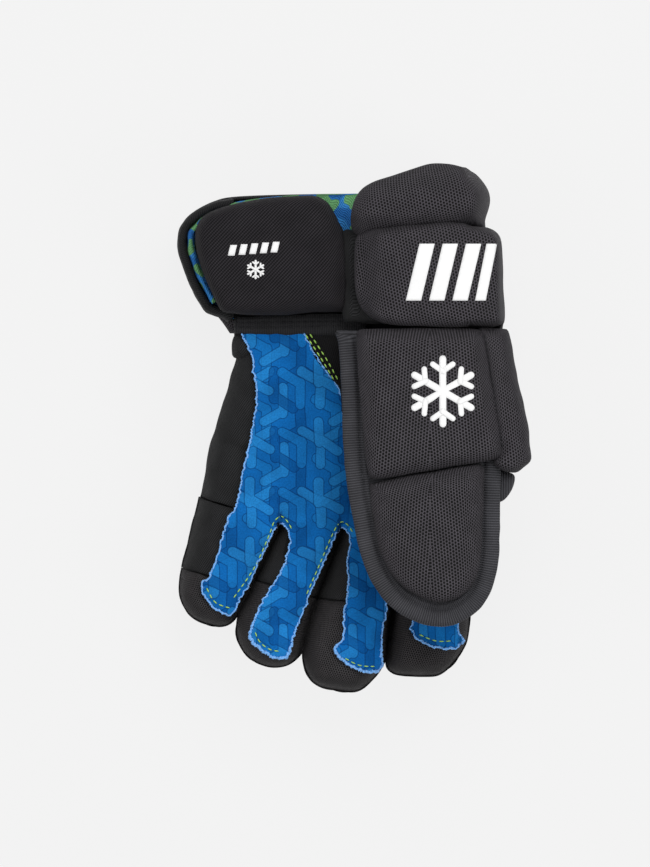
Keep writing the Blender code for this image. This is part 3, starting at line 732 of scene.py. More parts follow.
def stroke_distance(tree, place, centre, half, tile):
    """Distance to a stroke that repeats on a rectangular tile."""
    offset = vectors(tree, "SUBTRACT", place, (*centre, 0))
    offset = vectors(tree, "WRAP", offset, (tile[0] / 2, tile[1] / 2, 1),
                     (-tile[0] / 2, -tile[1] / 2, -1))
    squared = half[0] ** 2 + half[1] ** 2
    along = sums(tree, "MULTIPLY", vectors(tree, "DOT_PRODUCT", offset, (*half, 0)), 1 / squared)
    along = node(tree, "ShaderNodeClamp", (along, -1.0, 1.0)).outputs[0]
    foot = node(tree, "ShaderNodeVectorMath", ((*half, 0),), operation="SCALE")
    tree.links.new(along, foot.inputs["Scale"])
    return vectors(tree, "LENGTH", vectors(tree, "SUBTRACT", offset, foot.outputs[0]))


PRINT_TILE = (30.0, 26.0)
PRINT_WIDTH = 2.15
PRINT_BLUES = {"base": (0.0030, 0.100, 0.335), "light": (0.013, 0.172, 0.450),
               "dark": (0.0010, 0.060, 0.225), "middle": (0.006, 0.132, 0.390),
               "line": (0.001, 0.020, 0.090)}
# Each sign is a colour and its strokes: centre, direction in degrees and half length
PRINT_SIGNS = [
    ("middle", [((22.5, 2.0), 90, 6.0), ((18.4, 10.2), 150, 4.8)]),
    ("dark", [((7.5, 3.6), 90, 5.0), ((11.5, -3.2), 150, 4.8), ((3.5, -3.2), 30, 4.8)]),
    ("light", [((0.0, 12.0), 90, 5.6), ((-4.2, 5.0), 30, 5.0)]),
    ("light", [((16.0, 15.2), 90, 5.0), ((12.0, 22.0), 150, 4.8), ((20.0, 22.0), 30, 4.8)]),
    ("dark", [((26.0, 18.4), 90, 6.0), ((30.2, 11.2), 150, 5.0)]),
    ("middle", [((7.6, 15.0), 90, 4.6), ((3.6, 21.6), 150, 4.8)]),
    ("light", [((15.2, -2.0), 90, 4.6), ((19.4, -7.4), 150, 5.0)]),
]


def print_cloth(name):
    """Suede with a generic print of round-ended strokes at three angles."""
    made, tree, shader = new_material(name, 0.85, 0.03, 0.05)
    place = weave_place(tree)
    warp = noise_at(tree, place, 26.0)
    shift = sums(tree, "MULTIPLY", sums(tree, "SUBTRACT", warp, 0.5), 3.0)
    place_in = vectors(tree, "ADD", place, node(
        tree, "ShaderNodeCombineXYZ", (shift, shift, 0.0)).outputs[0])
    colour = node(tree, "ShaderNodeRGB").outputs[0]
    colour.default_value = (*PRINT_BLUES["base"], 1.0)
    for tone, strokes in PRINT_SIGNS:
        distance = None
        for centre, angle, reach in strokes:
            turn = math.radians(angle)
            half = (math.cos(turn) * reach, math.sin(turn) * reach)
            found = stroke_distance(tree, place_in, centre, half, PRINT_TILE)
            distance = found if distance is None else sums(tree, "MINIMUM", distance, found)
        fill = between(tree, distance, PRINT_WIDTH + 0.1, PRINT_WIDTH - 0.1, 0.0, 0.7)
        line = between(tree, sums(tree, "ABSOLUTE", sums(
            tree, "SUBTRACT", distance, PRINT_WIDTH)), 0.32, 0.1, 0.0, 0.6)
        colour = mixed(tree, fill, colour, PRINT_BLUES[tone])
        colour = mixed(tree, line, colour, PRINT_BLUES["line"])
    nap = noise_at(tree, place, 0.7, 3.0)
    colour = shade(tree, colour, nap, 0.84, 1.14)
    colour = shade(tree, colour, noise_at(tree, place, 14.0), 0.84, 1.14)
    surface(tree, shader, colour, nap, 0.12)
    return made


def lining_cloth(name):
    """Blue lining with patches of green, finely ribbed."""
    made, tree, shader = new_material(name, 0.8, 0.02, 0.1)
    place = weave_place(tree)
    patch = between(tree, noise_at(tree, place, 8.0, 0.0), 0.53, 0.56)
    deep = between(tree, noise_at(tree, vectors(tree, "ADD", place, (40, 9, 0)), 7.0, 0.0),
                   0.54, 0.57)
    colour = mixed(tree, deep, (0.034, 0.200, 0.520), (0.018, 0.120, 0.370))
    colour = mixed(tree, patch, colour, (0.120, 0.310, 0.130))
    parts = node(tree, "ShaderNodeSeparateXYZ", (place,)).outputs
    ribs = sums(tree, "SINE", sums(tree, "MULTIPLY", sums(
        tree, "ADD", parts[0], parts[1]), 2 * math.pi / 1.3))
    colour = shade(tree, colour, between(tree, ribs, -1.0, 1.0), 0.80, 1.15)
    surface(tree, shader, colour, ribs, 0.12)
    return made


def plain(name, colour, roughness, grain, low=0.85, high=1.15, depth=0.05, sheen=0.0):
    """Material with a fine uneven grain in the object's own space."""
    made, tree, shader = new_material(name, roughness, sheen, 0.15)
    place = node(tree, "ShaderNodeTexCoord").outputs["Object"]
    place = node(tree, "ShaderNodeVectorMath", (place,), operation="SCALE")
    place.inputs["Scale"].default_value = 1 / MM
    grains = noise_at(tree, place.outputs[0], grain, 3.0)
    base = node(tree, "ShaderNodeRGB").outputs[0]
    base.default_value = (*colour, 1.0)
    surface(tree, shader, shade(tree, base, grains, low, high), grains, depth)
    return made


pad_cloth = mesh_cloth("pad_mesh", (0.051, 0.047, 0.054), (0.0010, 0.0010, 0.0010))
thumb_cloth = mesh_cloth("thumb_mesh", (0.050, 0.046, 0.053), (0.0010, 0.0010, 0.0010), 1.5, 0.45,
                         33.0)
finger_cloth = mesh_cloth("finger_mesh", (0.038, 0.035, 0.037), (0.002, 0.002, 0.002), 1.1, 0.2)
flap_cloth = rib_cloth("flap_fabric", (0.0135, 0.0122, 0.0142), 1.15, 0.75, 0.8, 0.3)
side_cloth = rib_cloth("side_fabric", (0.0138, 0.0141, 0.0148), 0.9, 0.6, 0.6, 0.2)
tape_cloth = rib_cloth("grosgrain", (0.040, 0.040, 0.045), 1.1, 0.0, 0.45, 0.3, 0.7, 0.02, 0.1)
heel_cloth = rib_cloth("heel_tape", (0.0170, 0.0170, 0.0185), 1.0, 0.0, 0.3, 0.15, 0.75, 0.02, 0.2)
gusset_cloth = rib_cloth("gusset_fabric", (0.0050, 0.0050, 0.0054), 0.9, 0.3, 0.4, 0.12)
liner_cloth = rib_cloth("inner_liner", (0.020, 0.020, 0.022), 1.6, 0.0, 0.4, 0.25)
suede = print_cloth("palm_print")
lining = lining_cloth("cuff_lining")
fray_blue = plain("frayed_edge", (0.150, 0.370, 0.750), 0.9, 0.5, 0.7, 1.25, 0.2, 0.3)
lime_thread = plain("lime_thread", (0.330, 0.560, 0.110), 0.6, 0.4)
dark_thread = plain("dark_thread", (0.014, 0.014, 0.016), 0.6, 0.4)
white_ink = plain("white_ink", (0.74, 0.74, 0.74), 0.5, 0.8, 0.97, 1.0, 0.04)
plastic = plain("insert_plastic", (0.60, 0.60, 0.58), 0.4, 2.0, 0.94, 1.04, 0.03)


# ---------------------------------------------------------------- bodies


def fit_out(piece, body, nodes=()):
    """Puts a finished piece on its body and hides the CAD nodes it stands for."""
    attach(piece, body)
    if nodes:
        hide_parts(*nodes)
    return piece


def pad(name, outline, top, bottom, cloth, body, nodes=(), fill=None, swell=None, lumps=None,
        **shape):
    """A closed form that is filled, made uneven and put on its body."""
    piece = panel(name, outline, top, bottom, cloth, **shape)
    if swell:
        inflate(piece, *swell)
    if lumps:
        rumple(piece, *lumps)
    return fit_out(piece, body, nodes)


def blended(piece):
    """Bakes a piece's placing into its mesh."""
    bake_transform(piece)


def region_of(centres):
    """For each plan point: the palm, or the finger and section that it belongs to."""
    found = np.full(len(centres), "palm", dtype=object)
    beside = np.array([np.abs(digit_place(centres, name)[1]) - finger["half"]
                       for name, finger in FINGERS.items()])
    for index, (name, finger) in enumerate(FINGERS.items()):
        u, v = digit_place(centres, name)
        lane = (u > -6.5) & (beside[index] < 1.4) | (u > 1.5) & (beside.argmin(0) == index)
        if name == "pinky":
            lane |= (u > -6.5) & (v < 0)
        found[lane & (u <= finger["middle"] / 2)] = name + "_root"
        found[lane & (u > finger["middle"] / 2)] = name + "_end"
    return found


def shared_out(piece):
    """Splits a layer of the palm into the palm and two parts of each finger; the palm part is put on
    the hand.
    """
    points = coordinates(piece)
    weave = triples(piece.data.attributes["weave"].data, "vector")
    faces = [tuple(face.vertices) for face in piece.data.polygons]
    regions = region_of(np.array([points[list(face)].mean(0)[:2] for face in faces]))
    made = {}
    for region in sorted(set(regions)):
        chosen = [face for face, where in zip(faces, regions) if where == region]
        used = sorted({k for face in chosen for k in face})
        place = {k: index for index, k in enumerate(used)}
        part = add_mesh(piece.name + "_" + region, points[used],
                        [tuple(place[k] for k in face) for face in chosen],
                        piece.data.materials[0], weave[used])
        made[region] = part
        if region == "palm":
            fit_out(part, "hand")
        else:
            blend_finger(part, *region.split("_"))
    bpy.data.objects.remove(piece)
    return made


def blend_finger(part, name, section):
    """Bakes the placing of a finger's layer into its mesh."""
    blended(part)


# ---------------------------------------------------------------- hand and fingers

def shoulder_drop(points, side_line, name=None, depth=FINGER_SHOULDER, width=FINGER_ROLL):
    """How far a padded side has fallen below the palm side near its outline."""
    distance = nearest(points, side_line)[0]
    drop = depth * (1 - rounded(distance, width, 2.0))
    if name is None:
        return drop
    u, v = digit_place(points, name)
    start = step_up(u, -2.0, 12.0)
    if name == "pinky":
        start = np.maximum(start, step_up(-v, 2.0, 8.0))
    return drop * start


def make_finger(name, number):
    knuckle, forward, _ = finger_frame(name)
    middle = FINGERS[name]["middle"]
    side_line = curve(FINGER_SIDES[name], 1.3)
    second = knuckle + forward * middle

    def top(points):
        return PALM_TOP + finger_rise(points, name) - 1.7 - shoulder_drop(points, side_line, name)

    for section, origin, start, length, depths in (
            ("base", knuckle, 0.0, middle, FINGER_DEPTHS[0]),
            ("tip", second, middle, 36.0, FINGER_DEPTHS[1])):
        outline = clipped(grown(side_line, 0.4), origin + forward * 0.05, forward)
        nodes = [f"{name}_{section}_{layer}" for layer in ("pad", "sleeve", "strip")]
        if section == "base":
            outline = clipped(outline, second - forward * 0.05, -forward)
            nodes.append(name + "_insert")

        def bottom(points, depths=depths, start=start, length=length):
            u, _ = digit_place(points, name)
            depth = depths[0] + (depths[1] - depths[0]) * np.clip((u - start) / length, 0, 1)
            rise = 9.0 * (1 - rounded(nearest(points, side_line)[0], 8.5, 2.0))
            return PALM_TOP + finger_rise(points, name) - depth + rise

        pad(f"{name}_{section}_padding", outline, top, bottom,
            finger_cloth if section == "tip" else side_cloth, f"{name}_{section}", nodes, 0.8,
            (3.0, 0.7), (0.5, 7.0, number * 2 + (section == "tip")), roll=0.5, under=3.0,
            waist=0.35)
    make_joint_gusset(name, side_line, 0.0, ("hand", name + "_base"))
    make_joint_gusset(name, side_line, middle, (name + "_base", name + "_tip"))


def make_joint_gusset(name, side_line, hinge, bodies):
    """Knit gusset inside a finger's hinge."""
    knuckle, forward, _ = finger_frame(name)
    centre = knuckle + forward * hinge
    margin, sunk = (-0.3, 2.6) if hinge else (-1.3, 5.0)
    outline = clipped(grown(side_line, margin), centre - forward * 7.0, forward)
    outline = clipped(outline, centre + forward * 7.0, -forward)

    def top(points):
        return (PALM_TOP + finger_rise(points, name) - sunk
                - shoulder_drop(points, side_line, name))

    def bottom(points):
        rise = 8.0 * (1 - rounded(nearest(points, side_line)[0], 8.5, 2.0))
        return PALM_TOP + finger_rise(points, name) - 27.0 + rise

    piece = panel(f"{name}_gusset_{bodies[0].split('_')[-1]}", outline, top, bottom, gusset_cloth,
                  roll=0.6, under=3.0, waist=0.35)
    blended(piece)


def palm_sheet_height(points):
    """The printed palm: uneven, sunk a little in the middle, falling over each fingertip."""
    base = palm_height(points) + 0.35
    for name in FINGERS:
        u, v = digit_place(points, name)
        lane = (u > 0) & (np.abs(v) < FINGERS[name]["half"] + 4.0)
        drop = shoulder_drop(points, curve(FINGER_SIDES[name], 2.0), name)
        base = base - np.where(lane, 0.5 * drop, 0.0)
    hollow = step_up(points[:, 1], -40.0, -5.0) * (1 - step_up(points[:, 1], 15.0, 40.0))
    base = base - 1.6 * hollow * np.exp(-((points[:, 0] + 20) / 20) ** 2)
    lumps = [noise.noise(Vector((x / 13, y / 13, 3.0))) * 0.9
             + noise.noise(Vector((x / 5, y / 5, 8.0))) * 0.3 for x, y in points.tolist()]
    return base + np.array(lumps)


def cut_size(piece, heading):
    """The size a laid piece was cut to: its plan's width and length along the finger, and area."""
    forward, across = plan_axes(heading)
    plan = coordinates(piece)[:, :2] * MM
    area = 0.0
    for face in piece.data.polygons:
        x, y = plan[list(face.vertices)].T
        area += abs(np.dot(x, np.roll(y, -1)) - np.dot(y, np.roll(x, -1))) / 2
    return (float(np.ptp(plan @ across)), float(np.ptp(plan @ forward))), float(area)


def make_print():
    left, right = curve(PRINT_LEFT, 1.2), curve(PRINT_RIGHT, 1.2)
    outline = np.vstack((left, right, curve(PRINT_CLOSE, 1.5)))
    whole = sheet("palm_cloth", outline, palm_sheet_height, suede)
    parts = shared_out(whole)
    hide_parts("palm_panel")
    for region, part in parts.items():
        finger = region.split("_")[0]
        heading = FINGERS[finger]["heading"] if finger in FINGERS else 0.0
        flat, area = cut_size(part, heading)

    random.seed(11)
    edge = curve(np.vstack((left, right)), 0.5)
    outer = edge + np.array([(random.gauss(0, 0.16), random.gauss(0, 0.16)) for _ in edge])
    waves = [noise.noise(Vector((x / 2.2, y / 2.2, 5.0))) for x, y in edge.tolist()]
    outer = outer + 0.7 * np.column_stack((waves, waves[::-1]))
    heights = palm_sheet_height(outer) + 0.15
    path = np.column_stack((outer, heights))
    path[:, 2] += np.array([random.gauss(0, 0.12) for _ in path])
    u_tips = np.max([step_up(digit_place(edge, n)[0], FINGERS[n]["middle"] + 12,
                             FINGERS[n]["middle"] + 26) for n in FINGERS], axis=0)
    radii = [abs(random.gauss(0.27, 0.07)) + 0.5 * tip * random.random() + 0.1 for tip in u_tips]
    shared_out(joined("frayed_edge", [thread(path, radii)], fray_blue))


LIME_ROWS = [
    [(-51.5, -73.5), (-42.6, -60.5), (-36.2, -46.4), (-34.2, -41.0), (-31.2, -38.4),
     (-28.2, -40.8), (-26.0, -45.0)],
    [(-20.0, -72.0), (-14.6, -59.6), (-9.4, -47.4), (-6.6, -42.2), (-4.4, -40.8),
     (-1.8, -42.6), (0.2, -46.0)],
    [(-63.2, -69.4), (-59.4, -75.6), (-52.4, -78.2)],
    [(-42.2, -88.4), (-40.2, -92.6), (-35.4, -96.0), (-29.6, -96.6)],
    [(-3.4, -99.6), (2.6, -102.6), (9.6, -103.2)],
    [(28.6, -89.4), (36.0, -92.2), (43.6, -92.0)],
]


def make_stitches():
    for number, row in enumerate(LIME_ROWS):
        plan = curve(row, 0.5)
        path = np.column_stack((plan, palm_sheet_height(plan) + 0.12))
        shared_out(stitches(f"lime_stitches_{number}", path, lime_thread, 3.0, 2.0, 0.26, 0.2))
    for number, row in enumerate([[(-20.4, 40.0), (-14.0, 30.2), (-8.8, 21.6), (-7.0, 18.6)],
                                  [(-18.6, 40.4), (-12.0, 30.4), (-7.0, 21.6), (-6.0, 19.4)]]):
        plan = curve(row, 0.5)
        path = np.column_stack((plan, np.full(len(plan), PALM_TOP + 0.9)))
        fit_out(stitches(f"gusset_stitches_{number}", path, lime_thread, 3.0, 2.2, 0.3, 0.2),
                "hand")


def make_stalls():
    """Knit stalls under the palm strips."""
    for name, finger in FINGERS.items():
        knuckle, forward, across = finger_frame(name)
        half = finger["half"] - 0.8
        reach = finger["middle"] + {"pinky": 9.0}.get(name, 18.0)
        corners = [(-9, -half), (reach - 4, -half), (reach, -half + 4), (reach, half - 4),
                   (reach - 4, half), (-9, half)]
        outline = evened(np.array([knuckle + forward * u + across * v for u, v in corners]), 1.6)

        def level(points, depth, name=name):
            return PALM_TOP + finger_rise(points, name) - depth

        shared_out(panel(name + "_stall", outline, lambda p: level(p, 2.3),
                         lambda p: level(p, 20.0), gusset_cloth, roll=3.0))


def make_hand():
    """Side pads, gussets, back and heel of the fixed hand."""
    side_line = curve(SIDE_EDGE, 1.3)
    inner = [(-42.0, -50.0), (-38.0, -20.0), (-37.0, 0.0), (-36.0, 20.0), (-38.0, 31.5)]
    outline = np.vstack((side_line, curve(inner, 1.3)))
    knuckle, forward, _ = finger_frame("pinky")
    outline = clipped(outline, knuckle - forward * 0.05, -forward)

    def top(points):
        drop = shoulder_drop(points, side_line)
        crease = 1.3 * np.exp(-((points[:, 1] + 0.3 * points[:, 0] + 24.0) / 2.2) ** 2)
        return PALM_TOP - 1.3 - drop - crease

    def bottom(points):
        return 12.4 + 8.0 * (1 - rounded(nearest(points, side_line)[0], 9.0, 2.0))

    pad("pinky_side", outline, top, bottom, side_cloth, "hand",
        ["pinky_side_palm", "pinky_side_knuckle"], 0.8, (3.0, 0.8), (0.7, 9.0, 20), roll=0.5,
        under=3.0, waist=0.4)
    pad("wrist_bulge", curve(WRIST_BULGE, 1.3, True), PALM_TOP - 1.0, 12.6, side_cloth, "hand",
        ["pinky_side_wrist"], 0.8, None, (0.5, 6.0, 21), roll=5.0, waist=0.6)
    pad("index_side", curve(INDEX_WALL, 1.3, True), PALM_TOP - 0.9, 12.6, side_cloth, "hand",
        ["index_side_wall"], 0.8, None, (0.6, 9.0, 22), roll=6.0, waist=0.55)
    pad("root_gusset", curve(ROOT_GUSSET, 1.5, True), PALM_TOP - 0.1, PALM_TOP - 1.8,
        gusset_cloth, "hand", ["thumb_gusset"], lumps=(0.5, 6.0, 23), roll=0.8)
    pad("wrist_side_gusset", curve(WRIST_GUSSET, 1.4, True), 38.0, 18.0, gusset_cloth, "hand",
        roll=3.0)
    path = np.column_stack((np.full(30, 58.0), np.linspace(-10.0, 39.0, 30), np.full(30, 41.0)))
    fit_out(sweep("thumb_root_roll", path, ring_section(11.0, 12.0), gusset_cloth), "hand")
    make_back()
    make_heel()


def back_rolls(rolls, body, roll, seed):
    """Foam rolls that lie across the back."""
    for number, (node_name, corners) in enumerate(rolls.items()):
        pad(node_name + "_padding", evened(np.array(corners), 1.8), 12.2, 0.1, pad_cloth, body,
            [node_name], 0.9, (3.0, 0.5), (0.5, 11.0, seed + number), roll=roll, under=7.0,
            waist=0.6)


def make_back():
    """Foam rolls across the back of the hand, and the liner inside."""
    back_rolls(HAND_ROLLS, "hand", 5.5, 30)

    def bottom(points):
        return 0.3 + 6.0 * step_up(-points[:, 1], 22.0, 36.0)

    pad("back_roll_knuckle_padding", knuckle_outline(), 14.5, bottom, pad_cloth, "hand",
        ["back_roll_knuckle"], 0.9, (3.0, 0.5), (0.5, 11.0, 33), roll=5.0, under=6.5, waist=0.6)

    low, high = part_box("hand_liner")
    corners = [(x / MM, y / MM) for x, y in ((low.x, low.y), (high.x, low.y), (high.x, high.y),
                                             (low.x, high.y))]

    def ripples(points):
        return 15.2 + 0.35 * np.sin(points[:, 0] * 2 * math.pi / 9.0)

    pad("hand_liner_knit", evened(np.array(corners), 2.5), ripples, 14.0, liner_cloth, "hand",
        ["hand_liner"], roll=0.8, grid=2.0)


def knuckle_outline():
    """Plan outline of the roll behind the knuckles, stepped with the four hinges."""
    points = [(-60.6, -9.0), (-63.4, -22.0), (-64.6, -29.4)]
    for name, half in (("pinky", (-18.0, 11.0)), ("ring", (-11.0, 11.0)),
                       ("middle", (-11.0, 10.5)), ("index", (-11.0, 17.0))):
        knuckle, forward, across = finger_frame(name)
        points += [tuple(knuckle + across * v - forward * 1.6) for v in half]
    points += [(51.0, -9.0)]
    return evened(np.array(points), 1.8)


def make_heel():
    """Ribbed tape folded over the heel of the palm, with two stitched grooves."""
    corners = [(-51.6, 40.6), (-50.8, 47.6), (-30.0, 48.6), (-10.0, 49.2), (6.0, 49.0),
               (6.0, 39.6), (-10.0, 39.6), (-30.0, 39.8)]
    middle = np.array([(-52.0, 44.4), (-30.0, 44.6), (6.0, 45.0)])

    def top(points):
        from_middle = nearest(points, middle)[0]
        groove = 0.9 * np.exp(-((from_middle - 0.9) / 0.5) ** 2)
        return 42.0 - groove - 0.05 * from_middle**2

    pad("heel_tape", evened(np.array(corners), 1.2), top, 37.6, heel_cloth, "hand",
        ["heel_binding"], lumps=(0.35, 5.0, 35), roll=1.6, grid=0.9, weave=lambda plan: plan)
    for number, shift in enumerate((-0.9, 0.9)):
        line = curve(middle + np.array((0.0, shift)), 1.0)
        path = np.column_stack((line, np.full(len(line), 41.35)))
        fit_out(stitches(f"heel_stitches_{number}", path, dark_thread, 3.0, 2.2, 0.25, 0.2),
                "hand")


# ---------------------------------------------------------------- thumb

def thumb_level(height):
    """A surface at one height above the thumb's plane."""
    return lambda points: thumb_plane(points) + height


def thumb_top(height, crown, centre, width):
    """Crowned top of a thumb pad above the thumb's plane."""
    def top(points):
        away = (points[:, 0] - centre) / width
        return thumb_plane(points) + height + crown * (1 - away**2)
    return top


def thumb_part(outline, section, shift):
    """The root's (1) or the tip's (-1) side of a thumb outline, cut at the crease."""
    return clipped(outline, (0.0, THUMB_CREASE_Y + shift * section), (0.0, float(section)))


def make_thumb():
    """The thumb's two pads and side pad; returns the pad that carries a mark."""
    upper = pad("thumb_upper_padding", curve(THUMB_UPPER, 1.3, True),
                thumb_top(25.6, 1.8, 33.0, 32.0), thumb_level(15.9), thumb_cloth, "thumb",
                ["thumb_upper_pad"], 0.9, (4.0, 0.9), (0.5, 12.0, 40), roll=5.0, under=3.0,
                waist=0.4)
    pad("thumb_lower_padding", curve(THUMB_LOWER, 1.3, True), thumb_top(22.6, 2.6, 32.0, 25.0),
        thumb_level(15.9), thumb_cloth, "thumb_tip", ["thumb_lower_pad"], 0.9, (4.0, 0.9),
        (0.5, 12.0, 41), roll=8.0, under=3.0, waist=0.35)
    seam = np.array([(55.6, 42.0), (59.4, 20.0), (62.6, 0.0), (64.4, -14.0)])

    def side_top(points):
        away = nearest(points, seam)[0]
        return thumb_plane(points) + 24.6 - 0.03 * away**2

    side = pad("thumb_side_padding", curve(THUMB_SIDE, 1.3, True), side_top, thumb_level(1.5),
               thumb_cloth, "thumb", ["thumb_side_pad"], 0.9, (4.0, 0.9), (0.6, 9.0, 42),
               roll=3.6, under=5.0, waist=0.7)
    pad("thumb_side_gusset", curve(SIDE_GUSSET, 1.0, True), thumb_level(13.0), thumb_level(2.0),
        tape_cloth, "thumb_tip", roll=4.0, waist=0.6, weave=lambda plan: plan)
    plan = curve([(56.6, 40.0), (59.8, 20.0), (62.8, 0.0), (64.4, -10.0)], 0.5)
    path = np.column_stack((plan, on_surface(plan, upper, side) + 0.1))
    fit_out(stitches("side_seam_stitches", path, dark_thread, 3.2, 2.0, 0.22, 0.15), "thumb")
    make_thumb_binding()
    make_thumb_stall()
    return upper


def make_thumb_binding():
    """Wide ribbed tape folded round the thumb's edge, with a raised stitched edge by the pad."""
    rim = curve(THUMB_RIM, 1.2)
    rim = rim[rim[:, 1] < 41.9]

    def top(points):
        away = nearest(points, rim)[0]
        dome = 0.9 * np.exp(-((away - 3.6) / 3.2) ** 2)
        groove = 1.5 * np.exp(-((away - 7.4) / 0.6) ** 2)
        edge = 0.7 * np.exp(-((away - 8.7) / 0.7) ** 2)
        return thumb_plane(points) + 16.6 + dome - groove + edge

    def tape(points):
        away, along = nearest(points, rim)
        return np.column_stack((along, away))

    for section, body, name, node_name in ((1, "thumb", "upper", "thumb_upper_binding"),
                                           (-1, "thumb_tip", "lower", "thumb_tip_binding")):
        pad(f"thumb_{name}_tape", thumb_part(rim, section, -2.4), top, thumb_level(13.6),
            tape_cloth, body, [node_name], lumps=(0.25, 5.0, 43 + section), roll=2.4, grid=1.0,
            waist=0.4, weave=tape)


def make_thumb_stall():
    """Knit stall and printed palm side of the thumb."""
    rim = curve(THUMB_RIM, 1.4)
    centre = np.array((30.0, -20.0))

    def shrunk(share):
        return centre + (rim - centre) * share

    for section, name in ((1, "thumb"), (-1, "thumb_tip")):
        pad(name + "_stall", thumb_part(shrunk(0.955), section, 0.3), thumb_level(14.0),
            thumb_level(0.6), gusset_cloth, name, [name + "_sleeve"], roll=3.0, under=6.0)
        pad(name + "_palm_side", thumb_part(shrunk(0.80), section, 0.3), thumb_level(1.4),
            thumb_level(0.1), suede, name, [name + "_strip"], roll=0.6, weave=lambda plan: plan)
    core = clipped(shrunk(0.93), (0.0, -31.0), (0.0, 1.0))
    core = clipped(core, (0.0, -10.0), (0.0, -1.0))
    bridge = panel("thumb_crease_gusset", core, thumb_level(15.2), thumb_level(1.6),
                   gusset_cloth, roll=3.0)
    blended(bridge)


# ---------------------------------------------------------------- cuff

def make_cuff():
    """Flap, band and top roll; returns the two pads that carry marks."""
    def flap_top(points):
        x = points[:, 0]
        fall = 7.5 * step_up(x, -15.0, 1.5) ** 1.5
        crown = 1.4 * (1 - ((points[:, 1] - 74.0) / 26.0) ** 2)
        return 56.6 + crown - fall

    flap = pad("flap_padding", curve(FLAP, 1.3, True), flap_top, 42.8, flap_cloth, "cuff",
               ["palm_flap"], 0.85, (4.0, 1.0), (0.7, 15.0, 50), roll=4.4, under=3.0,
               waist=0.35)

    def roll_top(points):
        away = nearest(points, np.array([(8.0, 93.0), (30.0, 98.0), (48.0, 99.0)]))[0]
        return 69.0 - 0.032 * away**2 - 4.0 * (1 - step_up(points[:, 1], 84.0, 92.0))

    def side_bottom(points):
        return 56.2 - 43.6 * step_up(points[:, 0], 47.0, 52.0)

    pad("top_roll_padding", curve(TOP_ROLL, 1.3, True), roll_top, side_bottom, pad_cloth, "cuff",
        ["top_roll"], 0.9, (4.0, 0.9), (0.7, 11.0, 51), roll=8.0, under=4.0, waist=0.3)

    def band_top(points):
        x, y = points.T
        slope = 8.6 * (1 - step_up(x, 1.5, 12.5)) + 1.2 * (1 - step_up(x, 8.0, 24.0))
        return 69.8 - slope - 0.0015 * (y - 66) ** 2

    band = pad("band_padding", curve(BAND, 1.3, True), band_top, side_bottom, pad_cloth, "cuff",
               ["cuff_band"], 0.9, (4.0, 0.6), (0.5, 12.0, 52), roll=3.4, under=3.0, waist=0.5,
               power=2.0)
    pad("band_edge_gusset", curve(BAND_EDGE, 1.2, True), 52.0, 16.0, gusset_cloth, "cuff",
        roll=1.2)
    make_cuff_wall()
    make_cuff_back()
    return flap, band


def make_cuff_wall():
    rim = curve(CUFF_RIM, 1.2)
    wall = rim[rim[:, 1] < 99.4]

    def strip(name, line, inset, thick, low, high, cloth):
        ends = np.column_stack((line, np.full(len(line), (low + high) / 2)))
        section = ring_section(thick, high - low, 3.2, 20) + np.array((inset + thick / 2, 0.0))
        return sweep(name, ends, section, cloth)

    piece = strip("cuff_rim", wall, 0.0, 4.4, 12.4, 43.6, side_cloth)
    fit_out(rumple(piece, 0.4, 6.0, 53), "cuff", ["cuff_pinky_wall"])
    inner = rim[(rim[:, 0] < -53.0) & (rim[:, 1] > 50.5)]
    piece = strip("lining_wall", inner, 4.2, 3.2, 17.0, 44.4, lining)
    fit_out(rumple(piece, 0.5, 5.0, 54), "cuff")

    edge = curve([(-68.0, 93.4), (-60.0, 97.4), (-50.0, 99.4), (-20.0, 100.4), (20.0, 100.6),
                  (48.0, 100.0), (54.0, 98.0)], 1.2)
    path = np.column_stack((edge, np.full(len(edge), 9.2)))
    piece = sweep("cuff_edge_tape", path, ring_section(2.2, 15.0, 2.6, 16), heel_cloth)
    fit_out(piece, "cuff", ["cuff_edge_binding"])


def make_cuff_back():
    """Foam rolls on the back of the cuff, and the lining between them and the flap."""
    back_rolls(CUFF_ROLLS, "cuff", 5.0, 55)
    corners = [(-52.0, 47.0), (-63.0, 60.0), (-68.5, 80.0), (-65.0, 89.0), (-56.0, 95.6),
               (-30.0, 98.6), (0.0, 99.0), (46.0, 99.0), (50.0, 92.0), (50.0, 47.0)]

    def tray(points):
        x, y = points.T
        ripple = 0.5 * np.sin((x + 0.4 * y) * 2 * math.pi / 8.0)
        return 15.0 + 24.0 * step_up(x, 34.0, 50.0) ** 2 + ripple

    pad("lining_back", curve(corners, 1.6, True), tray, lambda p: tray(p) - 1.4, lining, "cuff",
        ["cuff_lining"], roll=0.8, grid=1.6)

    corners = [(-50.0, 62.0), (-54.0, 92.0), (-52.0, 96.8), (-46.0, 98.2), (-38.0, 99.3),
               (-28.0, 100.2), (-18.0, 100.7), (-8.0, 100.9), (3.0, 101.0), (18.0, 100.6),
               (40.0, 98.0), (40.0, 62.0)]

    def throat(points):
        x, y = points.T
        ripple = 0.45 * np.sin((x - 0.3 * y) * 2 * math.pi / 6.0)
        return 45.8 - 1.6 * step_up(y, 92.0, 101.0) + 4.0 * step_up(x, -10.0, 6.0) + ripple

    pad("lining_palm_side", curve(corners, 1.4, True), throat, lambda p: throat(p) - 2.2, lining,
        "cuff", roll=1.1, grid=1.5)

    def valley_top(points):
        return 54.5 + 5.5 * step_up(points[:, 0], 0.0, 9.0)

    pad("cuff_valley", curve(VALLEY, 1.3, True), valley_top, 46.0, side_cloth, "cuff",
        lumps=(0.9, 6.0, 57), roll=2.4)

    section = ring_section(101.0, 24.0, 5.0, 48)
    path = np.column_stack((np.full(14, -1.0), np.linspace(36.0, 55.0, 14), np.full(14, 26.0)))
    loops = sweep("wrist_gusset", path, section, gusset_cloth)
    blended(loops)


